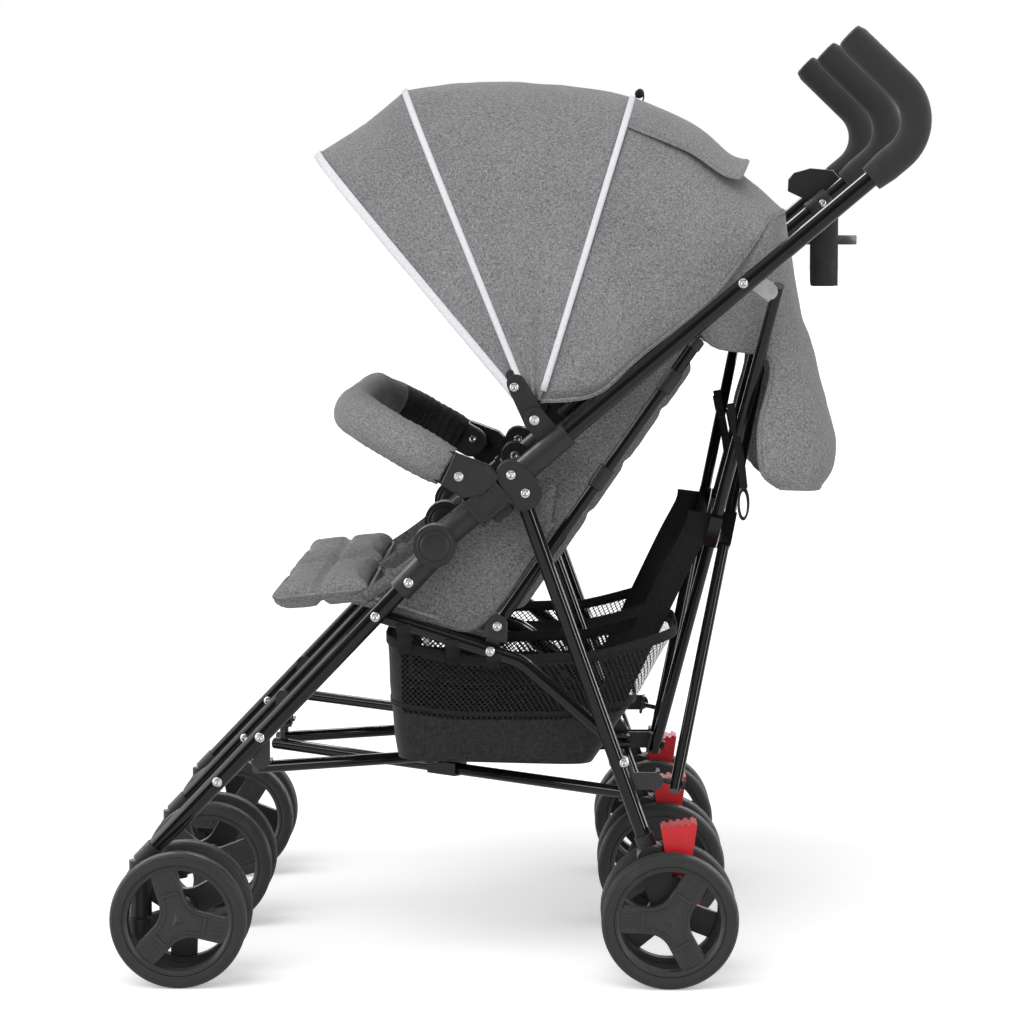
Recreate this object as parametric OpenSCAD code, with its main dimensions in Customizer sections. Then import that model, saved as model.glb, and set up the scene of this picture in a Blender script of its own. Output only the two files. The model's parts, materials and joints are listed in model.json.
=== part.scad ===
// Twin umbrella stroller: three side frames joined by crossed bars, with two
// sling seats side by side, two hoods, paired wheels and a hooked handle on each frame.
// Frame: +Z up, the children face -X, +Y to the right-hand side frame.
// The origin is on the floor under the centre of the overall box.

/* [Wheels] */
// Outer diameter of every tyre
wheel_d = 152; // [130:1:175]
// Width of one tyre
wheel_w = 24; // [18:1:28]
// Distance between the centres of the two wheels of a pair
wheel_gauge = 76; // [70:1:86]
// Radial depth of the tyre
tyre_depth = 14; // [10:1:20]
// Radial depth of the rim
rim_depth = 10; // [7:1:14]
// Width of a spoke
spoke_w = 30; // [22:1:36]
// Diameter of the live axles
axle_d = 8; // [6:0.5:10]
// Distance from the rear axle forward to the front axle
wheelbase = 543; // [520:1:570]
// Distance of the front axle behind its swivel axis
castor_trail = 46; // [38:1:56]

/* [Side frames] */
// Distance between neighbouring side frames
frame_pitch = 345; // [325:1:380]
// Outer diameter of the handle tubes and front legs
tube_d = 19; // [17:0.5:21]
// Outer diameter of the rear legs
rear_leg_d = 17; // [15:0.5:18]
// Outer diameter of the seat struts
strut_d = 16; // [14:0.5:17]
// Wall of every steel tube
tube_wall = 1.2; // [1:0.1:2]
// Knuckle centre ahead of the rear axle
knuckle_ahead = 260; // [250:1:270]
// Knuckle centre above the floor
knuckle_height = 488; // [478:1:498]
// Drop of the front leg's upper end below the knuckle centre
leg_drop = 10; // [6:1:14]
// Rear leg's upper end ahead of the rear axle
rear_leg_top_ahead = 163; // [158:1:168]
// Rear leg's upper end above the floor
rear_leg_top_height = 540; // [532:1:545]
// Rear leg's lower end ahead of the rear axle
rear_leg_foot_ahead = 20; // [17:1:23]
// Rear leg's lower end above the floor
rear_leg_foot_height = 140; // [136:1:146]
// Start of the handle's bend behind the rear axle
bend_behind = 249; // [240:1:260]
// Start of the handle's bend above the floor
bend_height = 917; // [905:1:930]
// Radius of the handle's bend
bend_r = 50; // [44:1:60]
// Angle that the handle turns through
bend_angle = 96; // [85:1:100]
// Straight length past the bend
handle_end = 76; // [60:1:90]
// Outer diameter of the foam grips
grip_d = 34; // [30:1:38]
// Straight length of the grip below the bend
grip_tail = 40; // [30:1:60]

/* [Cross bars] */
// Width of the cross bars
bar_w = 16; // [12:1:18]
// Thickness of the cross bars
bar_t = 13; // [8:0.5:14]
// Distance of the bar ends from the side frame's plane
bar_inset = 30; // [29:1:36]
// Pivot pin diameter of the cross bars
bar_pin_d = 6; // [5:0.5:7]
// Rear cross: lower pivot ahead of the rear axle
rear_cross_ahead = 16; // [12:1:18]
// Rear cross: lower pivot above the floor
rear_cross_height = 224; // [218:1:230]
// Rear cross: upper end behind the rear axle
upper_cross_behind = 108; // [104:1:114]
// Rear cross: upper end above the floor
upper_cross_height = 768; // [760:1:772]
// Floor cross: share of the front leg's length up to its front end
floor_cross_share = 0.59; // [0.55:0.01:0.62]
// Floor cross: rear pivot above the floor
floor_cross_rear_height = 246; // [242:1:252]
// Thickness of the steel brackets
bracket_t = 3; // [2.5:0.5:4]

/* [Seats] */
// Thickness of the seat pad
seat_t = 14; // [10:1:18]
// Seat pad from its front edge to its back edge
seat_l = 126; // [118:1:130]
// Height of the pads' crown
pad_crown = 7; // [4:0.5:10]
// Depth of the sewn channels
channel_depth = 4; // [2:0.5:6]
// Backrest tube diameter
back_tube_d = 14; // [12:0.5:16]
// Length of the backrest tubes
back_tube_l = 386; // [360:1:395]
// Angle of the backrest above the level
back_angle = 55; // [54:1:58]
// Share of the strut's front run at which the backrest's plates stand
recline_share = 0.79; // [0.75:0.01:0.82]
// Thickness of the backrest pad
back_t = 16; // [12:1:20]
// Calf rest from its hinge to its front edge
calf_l = 98; // [80:1:110]
// Thickness of the calf rest
calf_t = 28; // [18:1:32]
// Outer diameter of the padded bumper bar
bumper_d = 42; // [34:1:44]
// Bumper bar's pivot ahead of the rear axle
bumper_ahead = 235; // [230:1:240]
// Bumper bar's pivot above the floor
bumper_height = 565; // [558:1:572]
// Reach of the bumper bar ahead of its pivot
bumper_reach = 160; // [150:1:175]
// Corner radius of the bumper bar
bumper_corner_r = 85; // [70:1:100]
// Upward tilt of the bumper bar
bumper_tilt = 29; // [22:1:34]

/* [Hoods] */
// Hood hinge ahead of the rear axle
hinge_ahead = 150; // [145:1:155]
// Hood hinge above the floor
hinge_height = 627; // [620:1:634]
// Hinge to the top of the front bow
front_bow_l = 384; // [360:1:400]
// Hinge to the top of the middle bow
middle_bow_l = 394; // [370:1:410]
// Hinge to the top of the rear bow
rear_bow_l = 374; // [350:1:390]
// Angle of the front bow above the level
front_bow_angle = 130; // [126:1:134]
// Angle of the middle bow above the level
middle_bow_angle = 112; // [108:1:115]
// Angle of the rear bow above the level
rear_bow_angle = 73; // [70:1:77]
// Thickness of the hood's cloth
cloth_t = 2.4; // [1.6:0.2:3]
// Half width of the hood across the seat
hood_half_w = 148; // [140:1:149]
// Half width of the flap behind the handle tubes
flap_half_w = 122; // [110:1:128]

/* [Basket, cup holder and brake] */
// Height of the basket's sides
basket_h = 112; // [100:1:118]
// Half width of one basket
basket_half_w = 118; // [100:1:126]
// Wall of the basket's cloth
basket_wall = 2; // [1.5:0.5:3]
// Cup ring's centre behind the rear axle
cup_behind = 195; // [190:1:205]
// Cup ring's centre above the floor
cup_height = 824; // [815:1:830]
// Inner diameter of the cup ring
cup_d = 76; // [66:1:80]
// Depth of the cup cradle below its ring
cup_depth = 50; // [44:1:60]
// Width of the brake pedal
pedal_w = 42; // [34:1:44]
// Length of the pedal's tread
pedal_l = 40; // [34:1:46]

/* [Hidden] */
$fn = 48;
// Gap of running fits, gap of soft or loose neighbours, gap of seated parts, and overrun of cuts
run_gap = 0.1;
loose_gap = 0.4;
seat_gap = 0.05;
overrun = 1;

SIDES = ["left", "middle", "right"];
BAYS = ["left", "right"];
CROSSES = ["rear", "floor"];
BARS = ["inner", "outer"];
FRAME_NODES = ["handle_tube", "grip", "front_leg", "rear_leg", "frame_fittings", "steel_brackets",
    "castor_fork", "front_tyres", "front_hubs", "rear_tyres", "rear_hubs", "brake_pedal"];
BAY_NODES = ["seat", "backrest", "backrest_frame", "calf_rest", "hood", "hood_back"];

function frame_y(side) = side == "left" ? -frame_pitch : side == "right" ? frame_pitch : 0;
function bay_y(bay) = bay == "left" ? -frame_pitch / 2 : frame_pitch / 2;
// Directions from a side frame towards the seats beside it
function inboard(side) = side == "left" ? [1] : side == "right" ? [-1] : [-1, 1];

// Points in the plane of a side frame, [X, Z], before the part is centred
function polar(length, angle) = length * [cos(angle), sin(angle)];
function heading(a, b) = atan2(b[1] - a[1], b[0] - a[0]);
function along(a, b, length) = a + polar(length, heading(a, b));
function mix(a, b, share) = a + (b - a) * share;

wheel_r = wheel_d / 2;
tube_r = tube_d / 2;
rear_axle = [0, wheel_r];
front_axle = [-wheelbase, wheel_r];
swivel_x = -wheelbase - castor_trail;
knuckle = [-knuckle_ahead, knuckle_height];
leg_top = knuckle - [0, leg_drop];
socket_d = 25;
socket_bottom = wheel_r - socket_d / 6;
socket_top = 136;
leg_foot = [swivel_x, socket_top - 3];
rear_leg_top = [-rear_leg_top_ahead, rear_leg_top_height];
rear_leg_foot = [-rear_leg_foot_ahead, rear_leg_foot_height];
bend_start = [bend_behind, bend_height];
handle_angle = heading(knuckle, bend_start);
bend_centre = bend_start + polar(bend_r, handle_angle + 90);
bend_stop = bend_centre + polar(bend_r, handle_angle - 90 + bend_angle);
handle_tip = bend_stop + polar(handle_end, handle_angle + bend_angle);
function on_handle(x) = knuckle + polar((x - knuckle[0]) / cos(handle_angle), handle_angle);
// Foot of the perpendicular from a point to the handle tube's axis
function handle_foot(p) = knuckle + polar((p - knuckle) * polar(1, handle_angle), handle_angle);
function on_rear_leg(z) = mix(rear_leg_top, rear_leg_foot,
    (z - rear_leg_top[1]) / (rear_leg_foot[1] - rear_leg_top[1]));

// The part's centre: from the front tyres to the back of the grips
front_reach = -wheelbase - wheel_r;
back_reach = bend_centre[0] + bend_r + grip_d / 2;
part_shift = -(front_reach + back_reach) / 2;

// Struts that carry the seat, from the front leg to the rear leg
strut_y = tube_r + strut_d / 2 + loose_gap;
strut_front_share = 0.2;
strut_front_run = 160;
strut_fall = 52;
strut_front = mix(leg_top, leg_foot, strut_front_share);
strut_elbow = strut_front + [strut_front_run, -strut_fall];
strut_foot = on_rear_leg(floor_cross_rear_height + strut_d * 1.6);

// Cross bars: the rear cross leans back, the floor cross lies under the baskets
rear_cross_low = [-rear_cross_ahead, rear_cross_height];
rear_cross_high = [upper_cross_behind, upper_cross_height];
floor_cross_rear = on_rear_leg(floor_cross_rear_height) + [rear_leg_d / 2, -bar_t];
floor_cross_front = mix(leg_top, leg_foot, floor_cross_share) - [0, tube_d * 1.5];
bar_span = frame_pitch - 2 * bar_inset;
bar_layer_gap = 2;
sleeve_l = 40;
sleeve_skin = 0.7;

// Backrest, seat and calf rest places
recline_seat = mix(strut_front, strut_elbow, recline_share);
recline_pivot = recline_seat + [strut_d / 2, strut_d * 1.75];
recline_plate_y = strut_y + strut_d / 2 + seat_gap;
back_tube_y = recline_plate_y + bracket_t + loose_gap + back_tube_d / 2;
seat_slope = heading(strut_front, strut_elbow);
seat_overhang = strut_d * 1.2;
seat_front = strut_front + polar(strut_d / 2 + loose_gap, seat_slope + 90) - polar(seat_overhang, seat_slope);
calf_hinge = seat_front - [loose_gap, 0];
side_panel_t = 1.6;

// Brackets on the handle tubes for the bumper bar and the hood
sleeve_wall = 4;
sleeve_r = tube_r + sleeve_wall;
side_plate_y = sleeve_r + seat_gap;
bumper_pivot = [-bumper_ahead, bumper_height];
bumper_arm_y = side_plate_y + bracket_t + loose_gap + bumper_d / 2;
hinge = [-hinge_ahead, hinge_height];
hinge_arm_y = side_plate_y + bracket_t + loose_gap;
hinge_r = 13;

// A solid or hollow rod between two points of a side frame's plane
module rod(a, b, d, y = 0) {
    translate([a[0], y, a[1]])
        rotate([0, 90 - heading(a, b), 0])
            cylinder(h = norm(b - a), d = d);
}

module tube(a, b, d, y = 0) {
    difference() {
        rod(a, b, d, y);
        rod(along(a, b, -overrun), along(b, a, -overrun), d - 2 * tube_wall, y);
    }
}

// A cylinder across the part, from y0 to y1
module pin(p, d, y0, y1) {
    translate([p[0], min(y0, y1), p[1]])
        rotate([-90, 0, 0])
            cylinder(h = abs(y1 - y0), d = d);
}

// A plate with an outline in the side frame's plane, from y0 to y1
module plate(points, y0, y1) {
    translate([0, max(y0, y1), 0])
        rotate([90, 0, 0])
            linear_extrude(abs(y1 - y0))
                polygon(points);
}

// A link plate between two points, round at b, and at a unless it ends square inside a sleeve
module link(a, b, d, y0, y1, square_a = false) {
    side_step = polar(d / 2, heading(a, b) + 90);
    union() {
        if (!square_a) pin(a, d, y0, y1);
        pin(b, d, y0, y1);
        plate([a + side_step, b + side_step, b - side_step, a - side_step], y0, y1);
    }
}

// One arc of the bent handle, as a ring segment of the given diameter
module handle_arc(d) {
    translate([bend_centre[0], 0, bend_centre[1]])
        rotate([90, 0, 0])
            rotate([0, 0, handle_angle - 90])
                rotate_extrude(angle = bend_angle, $fn = 96)
                    translate([bend_r, 0])
                        circle(d = d);
}

module handle_path(d, start, tip) {
    union() {
        rod(start, bend_start, d);
        handle_arc(d);
        rod(bend_stop, tip, d);
    }
}

handle_start = along(knuckle, bend_start, tube_d * 0.7);
module handle_tube(side) {
    bore = tube_d - 2 * tube_wall;
    color("#1c1c1e")
        translate([0, frame_y(side), 0])
            difference() {
                handle_path(tube_d, handle_start, handle_tip);
                handle_path(bore, along(handle_start, bend_start, -overrun),
                    along(handle_tip, bend_stop, -overrun));
            }
}

module grip(side) {
    grip_start = along(bend_start, knuckle, grip_tail);
    cap = (grip_d - tube_d) / 2;
    color("#262626")
        translate([0, frame_y(side), 0])
            difference() {
                handle_path(grip_d, grip_start, along(handle_tip, bend_stop, -cap));
                handle_path(tube_d + 2 * seat_gap, along(grip_start, knuckle, overrun),
                    along(handle_tip, bend_stop, -seat_gap));
            }
}

// The front leg and the struts that carry the seat beside it
module front_leg(side) {
    leg_end = along(leg_foot, leg_top, socket_d / 2 + tube_r);
    leg_start = along(leg_top, leg_foot, tube_d * 0.7);
    color("#1c1c1e")
        translate([0, frame_y(side), 0]) {
            tube(leg_start, leg_end, tube_d);
            for (s = inboard(side)) seat_strut(s * strut_y);
        }
}

// A strut bends down behind the seat, on an arc that its two straights meet
strut_bend_r = strut_d * 3;
strut_turn = heading(strut_elbow, strut_foot) - seat_slope;
strut_tangent = strut_bend_r * tan(abs(strut_turn) / 2);
module strut_path(d, y, extra) {
    bend_from = along(strut_elbow, strut_front, strut_tangent);
    bend_to = along(strut_elbow, strut_foot, strut_tangent);
    centre = bend_from + polar(strut_bend_r, seat_slope - 90);
    union() {
        rod(along(strut_front, strut_elbow, -extra), bend_from, d, y);
        rod(bend_to, along(strut_foot, strut_elbow, -extra), d, y);
        translate([centre[0], y, centre[1]])
            rotate([90, 0, 0])
                rotate([0, 0, seat_slope + strut_turn + 90])
                    rotate_extrude(angle = -strut_turn, $fn = 96)
                        translate([strut_bend_r, 0])
                            circle(d = d);
    }
}

module seat_strut(y) {
    difference() {
        strut_path(strut_d, y, 0);
        strut_path(strut_d - 2 * tube_wall, y, overrun);
    }
}

module rear_leg(side) {
    color("#1c1c1e")
        translate([0, frame_y(side), 0])
            tube(along(rear_leg_top, rear_leg_foot, -rear_leg_d * 0.3), rear_leg_foot, rear_leg_d);
}

// Moulded fittings of one frame: knuckle, arm bracket, castor socket and rear axle housing
module frame_fittings(side) {
    color("#242527")
        translate([0, frame_y(side), 0]) {
            knuckle_joint();
            arm_bracket(side);
            castor_socket();
            axle_housing();
        }
}

module knuckle_joint() {
    cap_d = tube_d * 2.5;
    cap_w = tube_d * 1.7;
    sleeve_d = 2 * sleeve_r;
    handle_sleeve = norm(handle_foot(bumper_pivot) - knuckle) - hinge_r - loose_gap;
    leg_sleeve = tube_d * 3;
    difference() {
        union() {
            pin(knuckle, cap_d, -cap_w / 2, cap_w / 2);
            rod(knuckle, along(knuckle, bend_start, handle_sleeve), sleeve_d);
            rod(leg_top, along(leg_top, leg_foot, leg_sleeve), sleeve_d);
        }
        rod(along(handle_start, bend_start, -seat_gap), bend_start, tube_d + 2 * seat_gap);
        rod(along(leg_top, leg_foot, tube_d * 0.7 - seat_gap), leg_foot, tube_d + 2 * seat_gap);
    }
}

// Sleeve on the handle tube that holds the rear leg, the bumper bar and the hood's hinge
module arm_bracket(side) {
    rear_seat = on_handle(-rear_leg_top_ahead - tube_d / 2);
    hinge_seat = handle_foot(hinge);
    bumper_seat = handle_foot(bumper_pivot);
    sleeve_low = along(bumper_seat, hinge_seat, -hinge_r);
    sleeve_high = along(hinge_seat, bumper_seat, -hinge_r * 1.4);
    ear_y = rear_leg_d / 2 + loose_gap;
    ear_proud = 1;
    plate_y = tube_r + sleeve_wall / 2;
    plate_d = tube_d * 1.4;
    difference() {
        union() {
            rod(sleeve_low, sleeve_high, 2 * sleeve_r);
            for (s = [-1, 1])
                link(rear_seat, rear_leg_top, plate_d, s * ear_y, s * (sleeve_r + ear_proud), square_a = true);
            for (s = inboard(side)) {
                plate_end = side_plate_y + bracket_t;
                link(hinge_seat, hinge, 2 * hinge_r, s * plate_y, s * plate_end, square_a = true);
                if (side != "middle")
                    link(bumper_seat, bumper_pivot, 2 * hinge_r, s * plate_y, s * plate_end, square_a = true);
            }
        }
        rod(knuckle, bend_start, tube_d + 2 * seat_gap);
        rod(along(rear_leg_top, rear_leg_foot, -rear_leg_d * 0.3 - loose_gap), rear_leg_foot,
            rear_leg_d + loose_gap);
    }
}

// Upright socket at the foot of the front leg, bored for the castor's stem
stem_d = 11;
stem_top = socket_top - tube_d;
module castor_socket() {
    bore_h = stem_top - socket_bottom + 2 * overrun;
    difference() {
        union() {
            translate([swivel_x, 0, socket_bottom])
                cylinder(h = socket_top - socket_bottom, d = socket_d);
            rod(leg_foot, along(leg_foot, leg_top, socket_d), tube_d + 2 * tube_wall);
        }
        translate([swivel_x, 0, socket_bottom - overrun])
            cylinder(h = bore_h, d = stem_d + 2 * run_gap);
        rod(along(leg_foot, leg_top, socket_d / 2 + tube_r - seat_gap), leg_top, tube_d + 2 * seat_gap);
    }
}

// Housing between the rear wheels: leg socket, axle bore and pedal pivot
pedal_back = 7;
pedal_rise = 38;
pedal_pivot = rear_axle + [pedal_back, pedal_rise];
wheel_clear = 4;
housing_w = wheel_gauge - wheel_w - 2 * wheel_clear;
pedal_pin_d = 7;
pedal_slot = pedal_w * 0.32;
module axle_housing() {
    half_w = housing_w / 2;
    leg_d = rear_leg_d + 2 * tube_wall * 2;
    leg_mouth = along(rear_leg_foot, rear_leg_top, rear_leg_d * 1.6);
    leg_seat = along(rear_leg_foot, rear_leg_top, -rear_leg_d * 0.4);
    boss_d = axle_d * 4;
    difference() {
        union() {
            rod(leg_seat, leg_mouth, leg_d);
            link(rear_axle, rear_leg_foot, boss_d, -half_w, half_w);
            link(rear_axle, pedal_pivot, pedal_pin_d * 2.4, -half_w, half_w);
        }
        rod(rear_leg_foot, rear_leg_top, rear_leg_d + 2 * seat_gap);
        pin(rear_axle, axle_d + 2 * run_gap, -half_w - overrun, half_w + overrun);
        pedal_space();
    }
    pin(pedal_pivot, pedal_pin_d, -half_w, half_w);
}

// Space that the pedal's neck sweeps inside the housing
module pedal_space() {
    half = pedal_slot / 2 + loose_gap;
    reach = pedal_pin_d * 2.4;
    pin(pedal_pivot, reach * 2, -half, half);
}

// Bright steel brackets that hold the ends of the cross bars
module steel_brackets(side) {
    color("#b9bbbd")
        translate([0, frame_y(side), 0])
            for (s = inboard(side)) {
                cross_bracket(on_rear_leg(rear_cross_height), rear_cross_low, rear_frame_angle, s,
                    rear_leg_d / 2, base_layer(side), bracket_t);
                cross_bracket(on_handle(upper_cross_behind - tube_d), rear_cross_high, rear_frame_angle, s,
                    tube_r, top_layer(side), 0);
                cross_bracket(on_rear_leg(floor_cross_rear_height), floor_cross_rear, floor_frame_angle, s,
                    rear_leg_d / 2, base_layer(side), bracket_t);
                cross_bracket(mix(leg_top, leg_foot, floor_cross_share), floor_cross_front,
                    floor_frame_angle, s, tube_r, top_layer(side), 0);
                recline_plate(s);
            }
}

// Which of the two layers of a cross ends on a frame: the inner bars start on the middle frame
function base_layer(side) = side == "middle" ? 0 : 1;
function top_layer(side) = 1 - base_layer(side);

rear_frame_angle = 90 - heading(rear_cross_low, rear_cross_high);
floor_frame_angle = 90 - heading(floor_cross_rear, floor_cross_front);
// The rear cross lies behind its brackets, the floor cross below them
rear_layer_side = 1;
floor_layer_side = -1;
function layer_start(layer) = bracket_t + loose_gap + layer * (bar_t + bar_layer_gap);
function layer_mid(layer) = layer_start(layer) + bar_t / 2;

// A lug on the tube and a tab in the plane of the cross, with the pin that carries a bar's end.
// head is the length of the pin past the bar, or zero where the bar's end only rests on the pin.
module cross_bracket(seat, pivot, angle, s, seat_r, layer, head) {
    lug_y = seat_r + seat_gap;
    tab_half = bar_w * 0.7;
    lug_d = bar_w * 1.2;
    n_side = angle < 0 ? floor_layer_side : rear_layer_side;
    pin_end = head > 0 ? layer_start(layer) + bar_t + loose_gap + head : layer_start(layer) - loose_gap;
    link(seat, pivot, lug_d, s * lug_y, s * (lug_y + bracket_t));
    translate([pivot[0], 0, pivot[1]])
        rotate([0, angle, 0]) {
            tab_y = [s * (lug_y + bracket_t / 2), s * (bar_inset + bar_w / 2)];
            translate([n_side > 0 ? 0 : -bracket_t, min(tab_y), -tab_half])
                cube([bracket_t, abs(tab_y[1] - tab_y[0]), 2 * tab_half]);
            translate([n_side * bracket_t / 2, s * bar_inset, 0])
                rotate([0, n_side * 90, 0])
                    cylinder(h = pin_end - bracket_t / 2, d = bar_pin_d);
            if (head > 0)
                translate([n_side * (pin_end - head), s * bar_inset, 0])
                    rotate([0, n_side * 90, 0])
                        cylinder(h = head, d = bar_pin_d * 1.8);
        }
}

// Upright plate on the strut that carries the backrest's pivot
module recline_plate(s) {
    plate_d = strut_d;
    link(recline_seat, recline_pivot, plate_d, s * recline_plate_y, s * (recline_plate_y + bracket_t));
}

// One bar of a cross, with its bored lower end and the sleeve at its middle
module cross_bar(low, high, layer, n_side, y_low, y_high, tone) {
    rise = norm(high - low);
    span = y_high - y_low;
    length = norm([rise, span]);
    end_l = bar_w * 0.6;
    color(tone)
        translate([low[0], y_low, low[1]])
            rotate([0, 90 - heading(low, high), 0])
                translate([n_side * layer_mid(layer), 0, 0])
                    rotate([-atan2(span, rise), 0, 0]) {
                        difference() {
                            translate([0, 0, -end_l])
                                linear_extrude(length + 2 * end_l) bar_section(0);
                            translate([0, 0, end_l])
                                linear_extrude(length - 2 * end_l) bar_section(tube_wall);
                            translate([-bar_t, 0, 0])
                                rotate([0, 90, 0])
                                    cylinder(h = 2 * bar_t, d = bar_pin_d + 2 * run_gap);
                        }
                        bar_sleeve(length / 2);
                    }
}

module bar_section(inset) {
    round_d = bar_t - 2 * inset;
    flat = bar_w - bar_t;
    union() {
        square([round_d, flat], center = true);
        for (s = [-1, 1]) translate([0, s * flat / 2]) circle(d = round_d);
    }
}

module bar_sleeve(middle) {
    translate([0, 0, middle - sleeve_l / 2])
        difference() {
            linear_extrude(sleeve_l)
                square([bar_t + 2 * sleeve_skin, bar_w + bar_t / 2], center = true);
            translate([0, 0, -overrun])
                linear_extrude(sleeve_l + 2 * overrun) bar_section(-seat_gap);
        }
}

module cross(kind, bay, bar) {
    outer_y = bay == "left" ? -frame_pitch + bar_inset : frame_pitch - bar_inset;
    inner_y = bay == "left" ? -bar_inset : bar_inset;
    layer = bar == "inner" ? 0 : 1;
    y_low = bar == "inner" ? inner_y : outer_y;
    y_high = bar == "inner" ? outer_y : inner_y;
    if (kind == "rear")
        cross_bar(rear_cross_low, rear_cross_high, layer, rear_layer_side, y_low, y_high, "#1a1a1c");
    else
        cross_bar(floor_cross_rear, floor_cross_front, layer, floor_layer_side, y_low, y_high, "#1a1a1c");
}

// Castor: stem in the socket, arm between the wheels and axle boss
module castor_fork(side) {
    boss_d = axle_d * 3.6;
    half_w = housing_w / 2;
    collar_top = socket_bottom - loose_gap;
    arm_t = axle_d * 2.2;
    foot = [swivel_x, collar_top - arm_t / 2];
    color("#2a2b2d")
        translate([0, frame_y(side), 0])
            union() {
                translate([swivel_x, 0, collar_top - arm_t])
                    cylinder(h = stem_top - seat_gap - collar_top + arm_t, d = stem_d);
                difference() {
                    union() {
                        translate([swivel_x, 0, collar_top - arm_t])
                            cylinder(h = arm_t, d = socket_d * 1.3);
                        link(foot, along(foot, front_axle, castor_trail / 2), arm_t, -half_w / 2, half_w / 2);
                        link(along(front_axle, foot, boss_d / 4), front_axle, boss_d, -half_w, half_w);
                        rod(foot, front_axle, arm_t);
                    }
                    pin(front_axle, axle_d + 2 * run_gap, -half_w - overrun, half_w + overrun);
                    translate([swivel_x, 0, collar_top])
                        cylinder(h = socket_d, d = socket_d + 2 * loose_gap);
                }
            }
}

// Wheels
module tyre_pair(axle, side) {
    color("#2b2b2c")
        translate([axle[0], frame_y(side), axle[1]])
            for (s = [-1, 1])
                translate([0, s * wheel_gauge / 2, 0])
                    rotate([90, 0, 0]) tyre();
}

module tyre() {
    half = wheel_w / 2;
    shoulder = tyre_depth * 0.4;
    groove = tyre_depth * 0.12;
    inner = wheel_r - tyre_depth;
    rotate_extrude($fn = 120)
        polygon([
            [inner, -half], [wheel_r - shoulder, -half], [wheel_r - groove, -half + shoulder * 0.6],
            [wheel_r, -half + shoulder], [wheel_r, -groove], [wheel_r - groove, 0], [wheel_r, groove],
            [wheel_r, half - shoulder], [wheel_r - groove, half - shoulder * 0.6],
            [wheel_r - shoulder, half], [inner, half]]);
}

module hub_pair(axle, side) {
    half_axle = wheel_gauge / 2;
    color("#3a3b3d")
        translate([axle[0], frame_y(side), axle[1]]) {
            for (s = [-1, 1])
                translate([0, s * wheel_gauge / 2, 0])
                    rotate([-s * 90, 0, 0]) hub();
            rotate([90, 0, 0]) cylinder(h = 2 * half_axle, d = axle_d, center = true);
        }
}

// Rim, three broad spokes and a centre boss with its raised cap
module hub() {
    rim_outer = wheel_r - tyre_depth - seat_gap;
    rim_inner = rim_outer - rim_depth;
    rim_w = wheel_w * 0.92;
    spoke_t = wheel_w * 0.5;
    boss_d = spoke_w * 1.3;
    cap_t = wheel_w * 0.16;
    rib_w = spoke_w * 0.4;
    difference() {
        union() {
            rotate_extrude($fn = 120)
                polygon([[rim_inner, -rim_w / 2], [rim_outer, -rim_w / 2], [rim_outer, rim_w / 2],
                    [rim_inner + rim_depth * 0.5, rim_w / 2], [rim_inner, rim_w * 0.3]]);
            translate([0, 0, -spoke_t / 2]) {
                cylinder(h = spoke_t * 1.1, d = boss_d);
                cylinder(h = spoke_t + cap_t, d = rib_w * 1.6);
                for (turn = [0 : 120 : 240])
                    rotate([0, 0, turn]) {
                        translate([axle_d, -spoke_w / 2, 0])
                            cube([rim_inner + rim_depth / 2 - axle_d, spoke_w, spoke_t]);
                        translate([axle_d / 2, -rib_w / 2, spoke_t / 2])
                            cube([boss_d, rib_w, spoke_t / 2 + cap_t]);
                    }
            }
        }
        translate([0, 0, -wheel_w])
            cylinder(h = wheel_w + spoke_t / 4, d = axle_d + 2 * seat_gap);
    }
}

// Red lever over the rear axle: tread above, neck on the pivot and a hook below
module brake_pedal(side) {
    tread_low = pedal_pivot + [-pedal_l * 0.3, pedal_l * 0.8];
    tread_t = pedal_l * 0.72;
    tooth = pedal_l / 10;
    slope = 8;
    lift = tan(slope) * pedal_l;
    flare = pedal_l * 0.12;
    half = pedal_slot / 2;
    hook = pedal_pivot + [pedal_l * 0.62, -pedal_l * 0.55];
    color("#b3141f")
        translate([0, frame_y(side), 0])
            difference() {
                union() {
                    plate([tread_low, tread_low + [pedal_l - 2 * flare, 0],
                        tread_low + [pedal_l - flare, tread_t + lift], tread_low + [-flare, tread_t]],
                        -pedal_w / 2, pedal_w / 2);
                    for (i = [0 : 4])
                        translate([tread_low[0] - flare, 0, tread_low[1] + tread_t])
                            rotate([0, -slope, 0])
                                translate([(2 * i + 0.5) * tooth, -pedal_w / 2, -tooth / 2])
                                    cube([tooth, pedal_w, tooth]);
                    link(pedal_pivot, tread_low + [pedal_l * 0.4, 0], pedal_pin_d * 2.2, -half, half);
                    link(pedal_pivot, hook, pedal_pin_d, -half, half);
                    pin(pedal_pivot, pedal_pin_d * 2.2, -half, half);
                }
                pin(pedal_pivot, pedal_pin_d + 2 * run_gap, -pedal_w, pedal_w);
            }
}

// A sewn pad: length along x, width across y, crowned top with channels, sides drawn in.
// Its underside lies in the plane z = 0.
module sewn_pad(length, width, thick, channels, rows, cols) {
    function u(i) = i / rows;
    function v(j) = 2 * j / cols - 1;
    draw_share = 0.04;
    function drawn(i) = 1 - draw_share * sin(180 * u(i));
    function dip(i) = channel_depth * pow(abs(cos(180 * channels * u(i))), 8);
    function crown(i, j) = pad_crown * sqrt(max(0, sin(180 * u(i)))) * (1 - pow(v(j), 4));
    function top(i, j) = thick - pad_crown + crown(i, j) - dip(i) * (1 - pow(v(j), 8));
    function at(i, j, z) = [length * u(i), width / 2 * v(j) * drawn(i), z];
    across = cols + 1;
    count = (rows + 1) * across;
    points = concat(
        [for (i = [0 : rows], j = [0 : cols]) at(i, j, top(i, j))],
        [for (i = [0 : rows], j = [0 : cols]) at(i, j, 0)]);
    polyhedron(points, shell_faces(rows, cols, across, count));
}

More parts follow.
